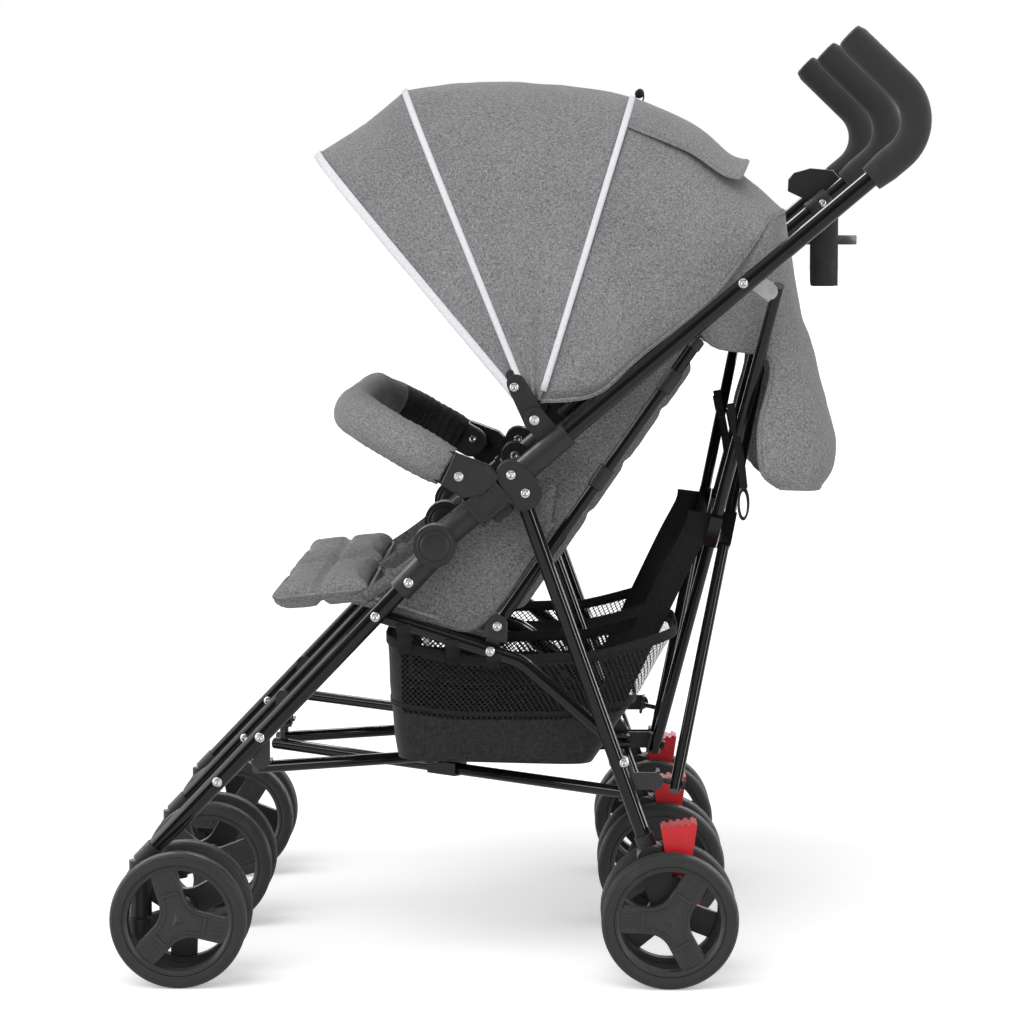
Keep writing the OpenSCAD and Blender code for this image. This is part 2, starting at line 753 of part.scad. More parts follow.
// Triangles of a closed sheet whose two skins are grids of rows by cols cells
function shell_faces(rows, cols, across, count) = concat(
    [for (i = [0 : rows - 1], j = [0 : cols - 1]) let (a = i * across + j)
        each [[a, a + 1, a + across + 1], [a, a + across + 1, a + across]]],
    [for (i = [0 : rows - 1], j = [0 : cols - 1]) let (a = count + i * across + j)
        each [[a, a + across + 1, a + 1], [a, a + across, a + across + 1]]],
    [for (i = [0 : rows - 1]) let (a = i * across, b = a + across)
        each [[a, b, count + b], [a, count + b, count + a]]],
    [for (i = [0 : rows - 1]) let (a = i * across + cols, b = a + across)
        each [[a, count + b, b], [a, count + a, count + b]]],
    [for (j = [0 : cols - 1]) each [[j, count + j + 1, j + 1], [j, count + j, count + j + 1]]],
    [for (j = [0 : cols - 1]) let (a = rows * across + j)
        each [[a, a + 1, count + a + 1], [a, count + a + 1, count + a]]]);

// Seat: pad on the struts and the cloth sides below the handle tubes
seat_half_w = frame_pitch / 2 - strut_y;
module seat(bay) {
    pad_rear = seat_front + polar(seat_l, seat_slope);
    panel_y = frame_pitch / 2 - recline_plate_y - loose_gap;
    panel = [
        along(leg_top, leg_foot, tube_d * 4.4),
        on_handle(knuckle[0] + tube_d * 2),
        on_handle(-rear_leg_top_ahead),
        recline_pivot + [-strut_d * 1.4, strut_d * 3],
        recline_seat + [-strut_d * 1.6, strut_d * 1.1]];
    color("#6e7073")
        translate([0, bay_y(bay), 0]) {
            translate([pad_rear[0], 0, pad_rear[1]])
                rotate([0, -seat_slope, 0])
                    rotate([0, 0, 180])
                        sewn_pad(seat_l, 2 * seat_half_w, seat_t, 3, 18, 10);
            for (s = [-1, 1])
                plate(panel, s * panel_y, s * (panel_y - side_panel_t));
        }
}

// Backrest: padded sling on two tubes that turn at the struts
back_half_w = frame_pitch / 2 - back_tube_y - back_tube_d / 2 - loose_gap;
module backrest(bay) {
    pad_l = back_tube_l * 0.93;
    start = recline_pivot + polar(back_tube_d, back_angle) + polar(back_tube_d / 2, back_angle - 90);
    color("#6e7073")
        translate([start[0], bay_y(bay), start[1]])
            rotate([0, -back_angle, 0])
                sewn_pad(pad_l, 2 * back_half_w, back_t, 4, 24, 8);
}

module backrest_frame(bay) {
    top = recline_pivot + polar(back_tube_l, back_angle);
    color("#1c1c1e")
        for (s = [-1, 1]) {
            y = bay_y(bay) + s * (frame_pitch / 2 - back_tube_y);
            tube(recline_pivot, top, back_tube_d, y);
            translate([recline_pivot[0], y, recline_pivot[1]])
                sphere(d = back_tube_d);
        }
}

module calf_rest(bay) {
    color("#6e7073")
        translate([calf_hinge[0], bay_y(bay), calf_hinge[1]])
            rotate([0, 0, 180])
                sewn_pad(calf_l, 2 * back_half_w, calf_t, 3, 18, 8);
}

// Bumper bar: one padded hoop across both seats, on the outer frames' arm brackets
module bumper_bar() {
    half = frame_pitch - bumper_arm_y;
    straight = bumper_reach - bumper_corner_r - bumper_d / 2;
    color("#6e7073")
        translate([bumper_pivot[0], 0, bumper_pivot[1]])
            rotate([0, bumper_tilt, 0]) {
                for (s = [-1, 1]) {
                    translate([0, s * half, 0])
                        rotate([0, -90, 0]) cylinder(h = straight, d = bumper_d);
                    translate([0, s * half, 0])
                        sphere(d = bumper_d);
                    translate([-straight, s * (half - bumper_corner_r), 0])
                        rotate([0, 0, s > 0 ? 90 : 180])
                            rotate_extrude(angle = 90, $fn = 72)
                                translate([bumper_corner_r, 0]) circle(d = bumper_d);
                }
                translate([-straight - bumper_corner_r, half - bumper_corner_r, 0])
                    rotate([90, 0, 0])
                        cylinder(h = 2 * (half - bumper_corner_r), d = bumper_d);
            }
}

// Hood: sheets spanned between ribs. A rib is [foot, top, half width] and arches across the seat.
arch_steps = 14;
// Half the angle between the moving hood and its back, at the rear bow
seam_angle = 0.08;
function arch(rib, i, inset) =
    let (t = 180 * i / arch_steps, reach = norm(rib[1] - rib[0]) - inset,
        out = polar(reach * pow(abs(sin(t)), 0.55), heading(rib[0], rib[1])),
        side = cos(t) < 0 ? -1 : 1)
    [rib[0][0] + out[0], (rib[2] - inset) * side * pow(abs(cos(t)), 0.55), rib[0][1] + out[1]];

module arched_sheet(ribs) {
    rows = len(ribs) - 1;
    across = arch_steps + 1;
    count = len(ribs) * across;
    points = concat(
        [for (rib = ribs, i = [0 : arch_steps]) arch(rib, i, 0)],
        [for (rib = ribs, i = [0 : arch_steps]) arch(rib, i, cloth_t)]);
    polyhedron(points, shell_faces(rows, arch_steps, across, count));
}

// A rib of the hood at an angle round the hinge, its foot clear of the hinge itself
function bow(angle, length, half_w) =
    [hinge + polar(hinge_r * 1.6, angle), hinge + polar(length, angle), half_w];
// A rib between two bows, drawn in by the cloth's sag
function sagged(angle_a, length_a, angle_b, length_b, share, sag) =
    bow(angle_a + (angle_b - angle_a) * share, (length_a + (length_b - length_a) * share) * sag, hood_half_w);

module hood(bay) {
    sag_share = 0.965;
    color("#6e7073")
        translate([0, bay_y(bay), 0]) {
            arched_sheet([
                bow(rear_bow_angle + seam_angle, rear_bow_l, hood_half_w),
                sagged(rear_bow_angle, rear_bow_l, middle_bow_angle, middle_bow_l, 0.33, sag_share),
                sagged(rear_bow_angle, rear_bow_l, middle_bow_angle, middle_bow_l, 0.67, sag_share),
                bow(middle_bow_angle, middle_bow_l, hood_half_w),
                sagged(middle_bow_angle, middle_bow_l, front_bow_angle, front_bow_l, 0.5, sag_share + 0.02),
                bow(front_bow_angle, front_bow_l, hood_half_w)]);
            for (s = [-1, 1]) hinge_arm(s);
        }
}

// Flat arm that carries the bows' feet on the hinge
module hinge_arm(s) {
    arm_y = frame_pitch / 2 - hinge_arm_y;
    arm_t = arm_y - hood_half_w - loose_gap;
    reach = hinge + polar(hinge_r * 3, (front_bow_angle + middle_bow_angle) / 2);
    link(hinge, reach, hinge_r * 1.7, s * arm_y, s * (arm_y - arm_t));
}

// Back of the hood: from the rear bow to the handle tubes, then a flap that hangs behind the cross
module hood_back(bay) {
    tube_side = on_handle(hinge[0] + hinge_ahead * 0.5) + polar(sleeve_r, handle_angle + 90);
    tube_end = on_handle(hinge[0] + hinge_ahead * 1.15) + polar(sleeve_r, handle_angle + 90);
    brow = hinge + polar(rear_bow_l * 0.985, rear_bow_angle - 12);
    corner_angle = 39.3;
    corner = hinge + polar(rear_bow_l * 0.97, corner_angle);
    seam_foot = corner - [rear_bow_l * 0.05, rear_bow_l * 0.02];
    flap_top = corner - [0, rear_bow_l * 0.13];
    belly = corner + [rear_bow_l * 0.18, -rear_bow_l * 0.68];
    hem = corner + [rear_bow_l * 0.14, -rear_bow_l * 0.84];
    lean = heading(rear_cross_low, rear_cross_high);
    behind = layer_start(2) + bar_t;
    function flap_front(z) = rear_cross_low + polar((z - rear_cross_low[1]) / sin(lean), lean)
        + [behind / sin(lean), 0];
    color("#6e7073")
        translate([0, bay_y(bay), 0])
            arched_sheet([
                [flap_front(hem[1] + rear_bow_l * 0.06) + [rear_bow_l * 0.06, 0], hem, flap_half_w * 0.86],
                [flap_front(belly[1]), belly, flap_half_w * 0.95],
                [flap_front(mix(belly, flap_top, 0.5)[1]), mix(belly, flap_top, 0.5) + [bar_t, 0], flap_half_w],
                [flap_top, flap_top + [bar_t * 2.4, 0], flap_half_w],
                [seam_foot, corner, flap_half_w],
                [mix(tube_end, corner, 0.35), mix(corner, brow, 0.25), hood_half_w * 0.9],
                [mix(tube_end, tube_side, 0.5), mix(corner, brow, 0.6), hood_half_w * 0.97],
                [tube_side, brow, hood_half_w],
                bow(rear_bow_angle - seam_angle, rear_bow_l, hood_half_w)]);
}

// Baskets: cloth trays under the seats, open at the top, that rest on the floor cross
module baskets() {
    floor_lean = heading(floor_cross_rear, floor_cross_front);
    rest_drop = layer_start(0) - sleeve_skin - loose_gap;
    rear_low = floor_cross_rear + polar(rear_leg_d * 2, floor_lean) + polar(rest_drop, floor_lean + 90);
    front_low = rear_low + polar(wheelbase * 0.41, floor_lean);
    front_high = front_low + [-basket_h * 0.11, basket_h * 1.2];
    dip = mix(front_low, rear_low, 0.62) + [0, basket_h];
    rear_high = rear_low + [basket_h * 0.84, basket_h * 1.34];
    slant_wall = basket_wall * 1.2;
    color("#1f2022")
        for (bay = BAYS)
            translate([0, bay_y(bay), 0])
                difference() {
                    plate([rear_low, rear_high, dip, front_high, front_low], -basket_half_w, basket_half_w);
                    plate([rear_low + [-slant_wall, basket_wall], rear_high + [-slant_wall, overrun],
                        dip + [0, overrun], front_high + [slant_wall, overrun],
                        front_low + [slant_wall, basket_wall]],
                        -basket_half_w + basket_wall, basket_half_w - basket_wall);
                }
}

// Cup holder clamped on the middle handle tube
cup_clamp = on_handle(cup_behind - cup_d / 3);
cup_ring = [cup_behind, cup_height];
// A cup goes straight down past the grip
cup_beside = 1.5;
cup_y = (cup_d + grip_d) / 2 + cup_beside;
module cup_holder() {
    ring_wall = 4;
    ring_h = 8;
    strap_w = 34;
    strap_t = 3;
    strap_rise = 72;
    clamp_l = tube_d * 1.2;
    color("#202123")
        difference() {
            union() {
                rod(cup_clamp - polar(clamp_l / 2, handle_angle), cup_clamp + polar(clamp_l / 2, handle_angle),
                    2 * sleeve_r);
                link(cup_clamp, cup_ring, tube_d * 0.8, tube_r, sleeve_r + strap_t);
                translate([cup_ring[0], cup_y, cup_ring[1] - ring_h / 2])
                    difference() {
                        union() {
                            cylinder(h = ring_h, d = cup_d + 2 * ring_wall);
                            translate([-strap_w / 2, -cup_d / 2 - ring_wall, -cup_depth])
                                cube([strap_w, cup_d + 2 * ring_wall, cup_depth + ring_h]);
                            translate([-strap_w / 2, -cup_d / 2 - ring_wall, 0])
                                cube([strap_w, ring_wall, strap_rise]);
                        }
                        translate([0, 0, -overrun])
                            cylinder(h = ring_h + 2 * overrun, d = cup_d);
                        translate([-strap_w, -cup_d / 2, -cup_depth + strap_t])
                            cube([2 * strap_w, cup_d, cup_depth - strap_t]);
                    }
            }
            rod(knuckle, bend_start, tube_d + 2 * seat_gap);
        }
}

module frame_part(part, side) {
    if (part == "handle_tube") handle_tube(side);
    if (part == "grip") grip(side);
    if (part == "front_leg") front_leg(side);
    if (part == "rear_leg") rear_leg(side);
    if (part == "frame_fittings") frame_fittings(side);
    if (part == "steel_brackets") steel_brackets(side);
    if (part == "castor_fork") castor_fork(side);
    if (part == "front_tyres") tyre_pair(front_axle, side);
    if (part == "front_hubs") hub_pair(front_axle, side);
    if (part == "rear_tyres") tyre_pair(rear_axle, side);
    if (part == "rear_hubs") hub_pair(rear_axle, side);
    if (part == "brake_pedal") brake_pedal(side);
}

module bay_part(part, bay) {
    if (part == "seat") seat(bay);
    if (part == "backrest") backrest(bay);
    if (part == "backrest_frame") backrest_frame(bay);
    if (part == "calf_rest") calf_rest(bay);
    if (part == "hood") hood(bay);
    if (part == "hood_back") hood_back(bay);
}

module centred() {
    translate([part_shift, 0, 0]) children();
}

for (part = FRAME_NODES, side = SIDES)
    centred() frame_part(part, side);
for (kind = CROSSES, bay = BAYS, bar = BARS)
    centred() cross(kind, bay, bar);
for (part = BAY_NODES, bay = BAYS)
    centred() bay_part(part, bay);
centred() bumper_bar();
centred() baskets();
centred() cup_holder();

// Pivots in the part's frame, for anyone who drives the joints
echo(pivots = [
    ["rear_axle", rear_axle + [part_shift, 0]], ["front_axle", front_axle + [part_shift, 0]],
    ["swivel", [swivel_x + part_shift, 0]], ["pedal_pivot", pedal_pivot + [part_shift, 0]],
    ["recline_pivot", recline_pivot + [part_shift, 0]], ["calf_hinge", calf_hinge + [part_shift, 0]],
    ["bumper_pivot", bumper_pivot + [part_shift, 0]], ["hinge", hinge + [part_shift, 0]],
    ["rear_cross_low", rear_cross_low + [part_shift, 0]], ["rear_cross_high", rear_cross_high + [part_shift, 0]],
    ["floor_cross_rear", floor_cross_rear + [part_shift, 0]],
    ["floor_cross_front", floor_cross_front + [part_shift, 0]],
    ["cup_ring", cup_ring + [part_shift, 0]], ["cup_y", [cup_y, 0]],
    ["bend_centre", bend_centre + [part_shift, 0]],
    ["rail", cup_clamp + [part_shift, 0]], ["rail_angle", [handle_angle, 0]]]);
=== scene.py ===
import bpy
import bmesh
import json
import math
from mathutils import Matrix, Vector, noise

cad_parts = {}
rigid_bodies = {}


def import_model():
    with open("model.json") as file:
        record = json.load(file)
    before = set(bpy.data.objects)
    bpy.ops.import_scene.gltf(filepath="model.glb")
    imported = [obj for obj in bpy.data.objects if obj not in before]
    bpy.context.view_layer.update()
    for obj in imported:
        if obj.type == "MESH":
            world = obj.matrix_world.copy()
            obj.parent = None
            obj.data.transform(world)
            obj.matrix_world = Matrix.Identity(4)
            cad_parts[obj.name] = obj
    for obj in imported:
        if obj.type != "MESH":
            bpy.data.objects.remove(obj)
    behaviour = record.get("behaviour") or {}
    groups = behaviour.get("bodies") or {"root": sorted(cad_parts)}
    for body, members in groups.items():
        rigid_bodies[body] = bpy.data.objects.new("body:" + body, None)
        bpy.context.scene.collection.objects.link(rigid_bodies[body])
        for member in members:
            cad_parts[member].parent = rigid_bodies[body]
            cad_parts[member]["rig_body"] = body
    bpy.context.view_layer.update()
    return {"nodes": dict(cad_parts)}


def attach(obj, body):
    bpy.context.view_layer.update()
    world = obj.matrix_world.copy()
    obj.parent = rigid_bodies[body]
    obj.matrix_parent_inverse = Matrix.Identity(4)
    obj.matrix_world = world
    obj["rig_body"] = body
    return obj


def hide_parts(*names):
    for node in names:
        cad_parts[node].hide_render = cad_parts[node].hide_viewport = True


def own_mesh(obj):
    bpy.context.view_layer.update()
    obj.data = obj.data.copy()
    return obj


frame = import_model()
nodes = frame["nodes"]
scene = bpy.context.scene
print("frame loaded:", len(nodes), "nodes")

# Sizes are in millimetres of the part's frame: children face -X, +Z is up
mm = 0.001
sides = {"left": -345.0, "middle": 0.0, "right": 345.0}
bays = {"left": -172.5, "right": 172.5}
frameBody = {"left": "left_frame", "middle": "middle_frame", "right": "right_frame"}
outward = {"left": -1, "right": 1}
seatFaces = {"left": (1,), "middle": (-1, 1), "right": (-1,)}  # the faces of a frame that look at a seat

# camera and studio
cameraView = {"place": (0.0432, -4.2521, 0.8297), "turn": (85.54, 0.0, 0.74), "lens": 124.8}
cameraData = bpy.data.cameras.new("camera")
cameraData.sensor_width = 36
cameraData.lens = cameraView["lens"]
camera = bpy.data.objects.new("camera", cameraData)
camera.location = cameraView["place"]
camera.rotation_euler = [math.radians(a) for a in cameraView["turn"]]
scene.collection.objects.link(camera)
scene.camera = camera
scene.view_settings.view_transform = "Standard"

studio = {"worldLevel": 0.6, "frontLevel": 0.05, "floorColour": 0.95, "floorGlow": 0.34,
          "keyLevel": 1.35, "keyTurn": (38, -24, 0), "keyAngle": 50,
          "fillLevel": 0.7, "fillTurn": (66, 18, 0), "fillAngle": 70,
          "stripLevel": 12.0, "stripHeight": (0.52, 0.56, 0.68, 0.72),
          "sideLevel": 9.0, "sideWidth": (0.76, 0.79, 0.87, 0.9)}


def addNode(tree, kind, **values):
    made = tree.nodes.new(kind)
    for key, value in values.items():
        if hasattr(made, key):
            setattr(made, key, value)
        else:
            made.inputs[key].default_value = value
    return made


def mathNode(tree, operation, first, second):
    made = addNode(tree, "ShaderNodeMath", operation=operation)
    for socket, value in zip(made.inputs, (first, second)):
        if isinstance(value, (int, float)):
            socket.default_value = value
        else:
            tree.links.new(value, socket)
    return made.outputs[0]


def mapped(tree, value, low, high, toLow, toHigh):
    made = addNode(tree, "ShaderNodeMapRange")
    made.clamp = True
    tree.links.new(value, made.inputs["Value"])
    for label, number in (("From Min", low), ("From Max", high), ("To Min", toLow), ("To Max", toHigh)):
        made.inputs[label].default_value = number
    return made.outputs[0]


def axesOf(tree, vector):
    made = addNode(tree, "ShaderNodeSeparateXYZ")
    tree.links.new(vector, made.inputs[0])
    return made.outputs


def between(tree, value, limits):
    # 1 between the two middle limits, falling to 0 at the outer ones
    rise = mapped(tree, value, limits[0], limits[1], 0.0, 1.0)
    return mathNode(tree, "MULTIPLY", rise, mapped(tree, value, limits[2], limits[3], 1.0, 0.0))


def buildStudio():
    world = bpy.data.worlds.new("studio")
    scene.world = world
    world.use_nodes = True
    tree = world.node_tree
    tree.nodes.clear()
    path = addNode(tree, "ShaderNodeLightPath")
    back = addNode(tree, "ShaderNodeBackground", Color=(1, 1, 1, 1))
    out = addNode(tree, "ShaderNodeOutputWorld")
    # the room in front of the part is dim, so gloss shows the white above, below and behind it
    x, y, z = axesOf(tree, addNode(tree, "ShaderNodeTexCoord").outputs["Generated"])
    steep = mathNode(tree, "ABSOLUTE", z, 0.0)
    high = mapped(tree, steep, 0.55, 0.85, studio["frontLevel"], 1.0)
    behind = mapped(tree, y, 0.0, 0.5, studio["frontLevel"], 1.0)
    # a long soft box high behind it draws the bright lines on the tubes
    strip = between(tree, z, studio["stripHeight"])
    strip = mathNode(tree, "MULTIPLY", strip, mapped(tree, y, 0.25, 0.4, 0.0, studio["stripLevel"]))
    # and a tall narrow one at each side draws them on the legs
    tall = between(tree, mathNode(tree, "ABSOLUTE", x, 0.0), studio["sideWidth"])
    tall = mathNode(tree, "MULTIPLY", tall, mapped(tree, steep, 0.4, 0.6, studio["sideLevel"], 0.0))
    strip = mathNode(tree, "ADD", strip, tall)
    room = mathNode(tree, "ADD", mathNode(tree, "MAXIMUM", high, behind), strip)
    glossy = mathNode(tree, "MULTIPLY", path.outputs["Is Glossy Ray"], room)
    clear = mathNode(tree, "MAXIMUM", path.outputs["Is Camera Ray"], path.outputs["Is Transmission Ray"])
    special = mathNode(tree, "MAXIMUM", clear, path.outputs["Is Glossy Ray"])
    soft = mathNode(tree, "MULTIPLY", mathNode(tree, "SUBTRACT", 1.0, special), studio["worldLevel"])
    tree.links.new(mathNode(tree, "ADD", mathNode(tree, "MAXIMUM", clear, glossy), soft), back.inputs["Strength"])
    tree.links.new(back.outputs[0], out.inputs["Surface"])
    for name in ("key", "fill"):
        lamp = bpy.data.lights.new(name, "SUN")
        lamp.energy = studio[name + "Level"]
        lamp.angle = math.radians(studio[name + "Angle"])
        holder = bpy.data.objects.new(name, lamp)
        holder.rotation_euler = [math.radians(a) for a in studio[name + "Turn"]]
        holder.visible_glossy = False
        scene.collection.objects.link(holder)
    mesh = bpy.data.meshes.new("floor")
    mesh.from_pydata([(-40, -40, 0), (40, -40, 0), (40, 80, 0), (-40, 80, 0)], [], [(0, 1, 2, 3)])
    floor = bpy.data.objects.new("floor", mesh)
    scene.collection.objects.link(floor)
    paper = bpy.data.materials.new("paper")
    paper.use_nodes = True
    skin = paper.node_tree.nodes["Principled BSDF"]
    skin.inputs["Base Color"].default_value = (studio["floorColour"],) * 3 + (1,)
    skin.inputs["Roughness"].default_value = 0.9
    skin.inputs["Specular IOR Level"].default_value = 0.0
    skin.inputs["Emission Color"].default_value = (1, 1, 1, 1)
    tree = paper.node_tree
    seen = addNode(tree, "ShaderNodeLightPath").outputs["Is Camera Ray"]
    tree.links.new(mathNode(tree, "MULTIPLY", seen, studio["floorGlow"]), skin.inputs["Emission Strength"])
    mesh.materials.append(paper)


buildStudio()
print("camera and studio set")


# shared effects, as node groups
def newGroup(name, inputs, outputs):
    tree = bpy.data.node_groups.new(name, "ShaderNodeTree")
    for label, kind, value in inputs:
        socket = tree.interface.new_socket(label, in_out="INPUT", socket_type="NodeSocket" + kind)
        socket.default_value = value
    for label, kind in outputs:
        tree.interface.new_socket(label, in_out="OUTPUT", socket_type="NodeSocket" + kind)
    return tree, tree.nodes.new("NodeGroupInput"), tree.nodes.new("NodeGroupOutput")


def scaledNoise(tree, vector, scale, detail, stretch=(1, 1, 1)):
    turned = addNode(tree, "ShaderNodeMapping")
    turned.inputs["Scale"].default_value = stretch
    grain = addNode(tree, "ShaderNodeTexNoise", Detail=detail)
    tree.links.new(vector, turned.inputs["Vector"])
    tree.links.new(turned.outputs[0], grain.inputs["Vector"])
    if isinstance(scale, (int, float)):
        grain.inputs["Scale"].default_value = scale
    else:
        tree.links.new(scale, grain.inputs["Scale"])
    return grain.outputs[0]


def mixColour(tree, share, first, second):
    made = addNode(tree, "ShaderNodeMix", data_type="RGBA")
    tree.links.new(share, made.inputs[0])
    for socket, value in ((made.inputs[6], first), (made.inputs[7], second)):
        if isinstance(value, tuple):
            socket.default_value = value
        else:
            tree.links.new(value, socket)
    return made.outputs[2]


def buildWeave():
    # Melange yarn: short light and dark flecks along the threads, over a plain weave
    tree, given, made = newGroup(
        "clothWeave",
        [("Dark", "Color", (0.08, 0.08, 0.085, 1)), ("Light", "Color", (0.2, 0.2, 0.21, 1)),
         ("Flecks", "Float", 720.0), ("Pitch", "Float", 3600.0)],
        [("Color", "Color"), ("Roughness", "Float"), ("Height", "Float")])
    place = addNode(tree, "ShaderNodeTexCoord").outputs["Object"]
    upright = scaledNoise(tree, place, given.outputs["Flecks"], 2.0, (1.5, 1.5, 0.45))
    level = scaledNoise(tree, place, given.outputs["Flecks"], 2.0, (0.45, 0.9, 1.5))
    broad = scaledNoise(tree, place, 9.0, 3.0)
    both = mathNode(tree, "ADD", upright, level)
    flecks = mapped(tree, both, 0.68, 1.32, 0.0, 1.0)
    worn = mapped(tree, broad, 0.3, 0.7, -0.07, 0.07)
    share = mathNode(tree, "ADD", flecks, worn)
    x, y, z = axesOf(tree, place)
    halfway = mathNode(tree, "MULTIPLY", y, 0.5)
    leaned = mathNode(tree, "ADD", x, halfway)
    raised = mathNode(tree, "ADD", z, halfway)
    warp = mathNode(tree, "SINE", mathNode(tree, "MULTIPLY", leaned, given.outputs["Pitch"]), 0.0)
    weft = mathNode(tree, "SINE", mathNode(tree, "MULTIPLY", raised, given.outputs["Pitch"]), 0.0)
    threads = mathNode(tree, "MULTIPLY", warp, weft)
    height = mathNode(tree, "ADD", mathNode(tree, "MULTIPLY", threads, 0.5), flecks)
    tree.links.new(mixColour(tree, share, given.outputs["Dark"], given.outputs["Light"]), made.inputs["Color"])
    tree.links.new(mapped(tree, both, 0.7, 1.3, 0.78, 0.95), made.inputs["Roughness"])
    tree.links.new(height, made.inputs["Height"])
    return tree


def buildGrain():
    # Moulded or painted skin: slow tone changes, fine pores and faint rubbing
    tree, given, made = newGroup(
        "moulding",
        [("Base", "Color", (0.02, 0.02, 0.02, 1)), ("Rubbed", "Color", (0.05, 0.05, 0.05, 1)),
         ("Pores", "Float", 900.0), ("Smooth", "Float", 0.3), ("Rough", "Float", 0.5)],
        [("Color", "Color"), ("Roughness", "Float"), ("Height", "Float")])
    place = addNode(tree, "ShaderNodeTexCoord").outputs["Object"]
    broad = scaledNoise(tree, place, 14.0, 4.0)
    streak = scaledNoise(tree, place, 90.0, 3.0, (1, 1, 0.2))
    pores = scaledNoise(tree, place, given.outputs["Pores"], 2.0)
    rub = mathNode(tree, "MULTIPLY", mapped(tree, broad, 0.45, 0.75, 0.0, 1.0),
                   mapped(tree, streak, 0.5, 0.72, 0.15, 1.0))
    tree.links.new(mixColour(tree, rub, given.outputs["Base"], given.outputs["Rubbed"]), made.inputs["Color"])
    span = mathNode(tree, "SUBTRACT", given.outputs["Rough"], given.outputs["Smooth"])
    spread = mathNode(tree, "MULTIPLY", mapped(tree, broad, 0.3, 0.7, 0.0, 1.0), span)
    tree.links.new(mathNode(tree, "ADD", spread, given.outputs["Smooth"]), made.inputs["Roughness"])
    tree.links.new(pores, made.inputs["Height"])
    return tree


def buildNet():
    # Diamond net on the sheet's own UVs, which are in metres
    tree, given, made = newGroup("netHoles", [("Pitch", "Float", 0.006), ("Thread", "Float", 0.26)],
                                 [("Alpha", "Float"), ("Height", "Float")])
    x, y, _ = axesOf(tree, addNode(tree, "ShaderNodeUVMap", uv_map="cloth").outputs[0])
    found = []
    for operation in ("ADD", "SUBTRACT"):
        cell = mathNode(tree, "DIVIDE", mathNode(tree, operation, x, y), given.outputs["Pitch"])
        found.append(mathNode(tree, "FRACT", cell, 0.0))
    first, second = [mathNode(tree, "LESS_THAN", f, given.outputs["Thread"]) for f in found]
    tree.links.new(mathNode(tree, "MAXIMUM", first, second), made.inputs["Alpha"])
    tree.links.new(mathNode(tree, "ADD", first, second), made.inputs["Height"])
    return tree


def tone(*levels):
    return (*levels, 1.0) if len(levels) == 3 else (levels[0],) * 3 + (1.0,)


def buildPlating():
    # The upper brackets are bright, the ones lower down and further forward are black
    tree, given, made = newGroup("plating", [("Border", "Float", 0.2)],
                                 [("Metallic", "Float"), ("Color", "Color"), ("Roughness", "Float")])
    place = addNode(tree, "ShaderNodeTexCoord").outputs["Object"]
    bright = mathNode(tree, "GREATER_THAN", axesOf(tree, place)[0], given.outputs["Border"])
    rub = mapped(tree, scaledNoise(tree, place, 60.0, 4.0), 0.35, 0.65, 0.0, 1.0)
    plain = mixColour(tree, rub, tone(0.012), tone(0.022))
    plated = mixColour(tree, rub, tone(0.62, 0.63, 0.64), tone(0.74, 0.74, 0.75))
    tree.links.new(bright, made.inputs["Metallic"])
    tree.links.new(mixColour(tree, bright, plain, plated), made.inputs["Color"])
    tree.links.new(mathNode(tree, "ADD", mathNode(tree, "MULTIPLY", rub, 0.16), 0.2), made.inputs["Roughness"])
    return tree


groups = {"weave": buildWeave(), "grain": buildGrain(), "net": buildNet(), "plating": buildPlating()}
print("node groups built:", len(groups))


# finishes
def newFinish(name, group, values, bump, distance, plain):
    made = bpy.data.materials.new(name)
    made.use_nodes = True
    tree = made.node_tree
    skin = tree.nodes["Principled BSDF"]
    effect = addNode(tree, "ShaderNodeGroup", node_tree=groups[group])
    for key, value in values.items():
        effect.inputs[key].default_value = value
    for key in ("Color", "Roughness"):
        tree.links.new(effect.outputs[key], skin.inputs["Base Color" if key == "Color" else key])
    relief = addNode(tree, "ShaderNodeBump", Strength=bump, Distance=distance)
    tree.links.new(effect.outputs["Height"], relief.inputs["Height"])
    tree.links.new(relief.outputs[0], skin.inputs["Normal"])
    for key, value in plain.items():
        skin.inputs[key].default_value = value
    return made


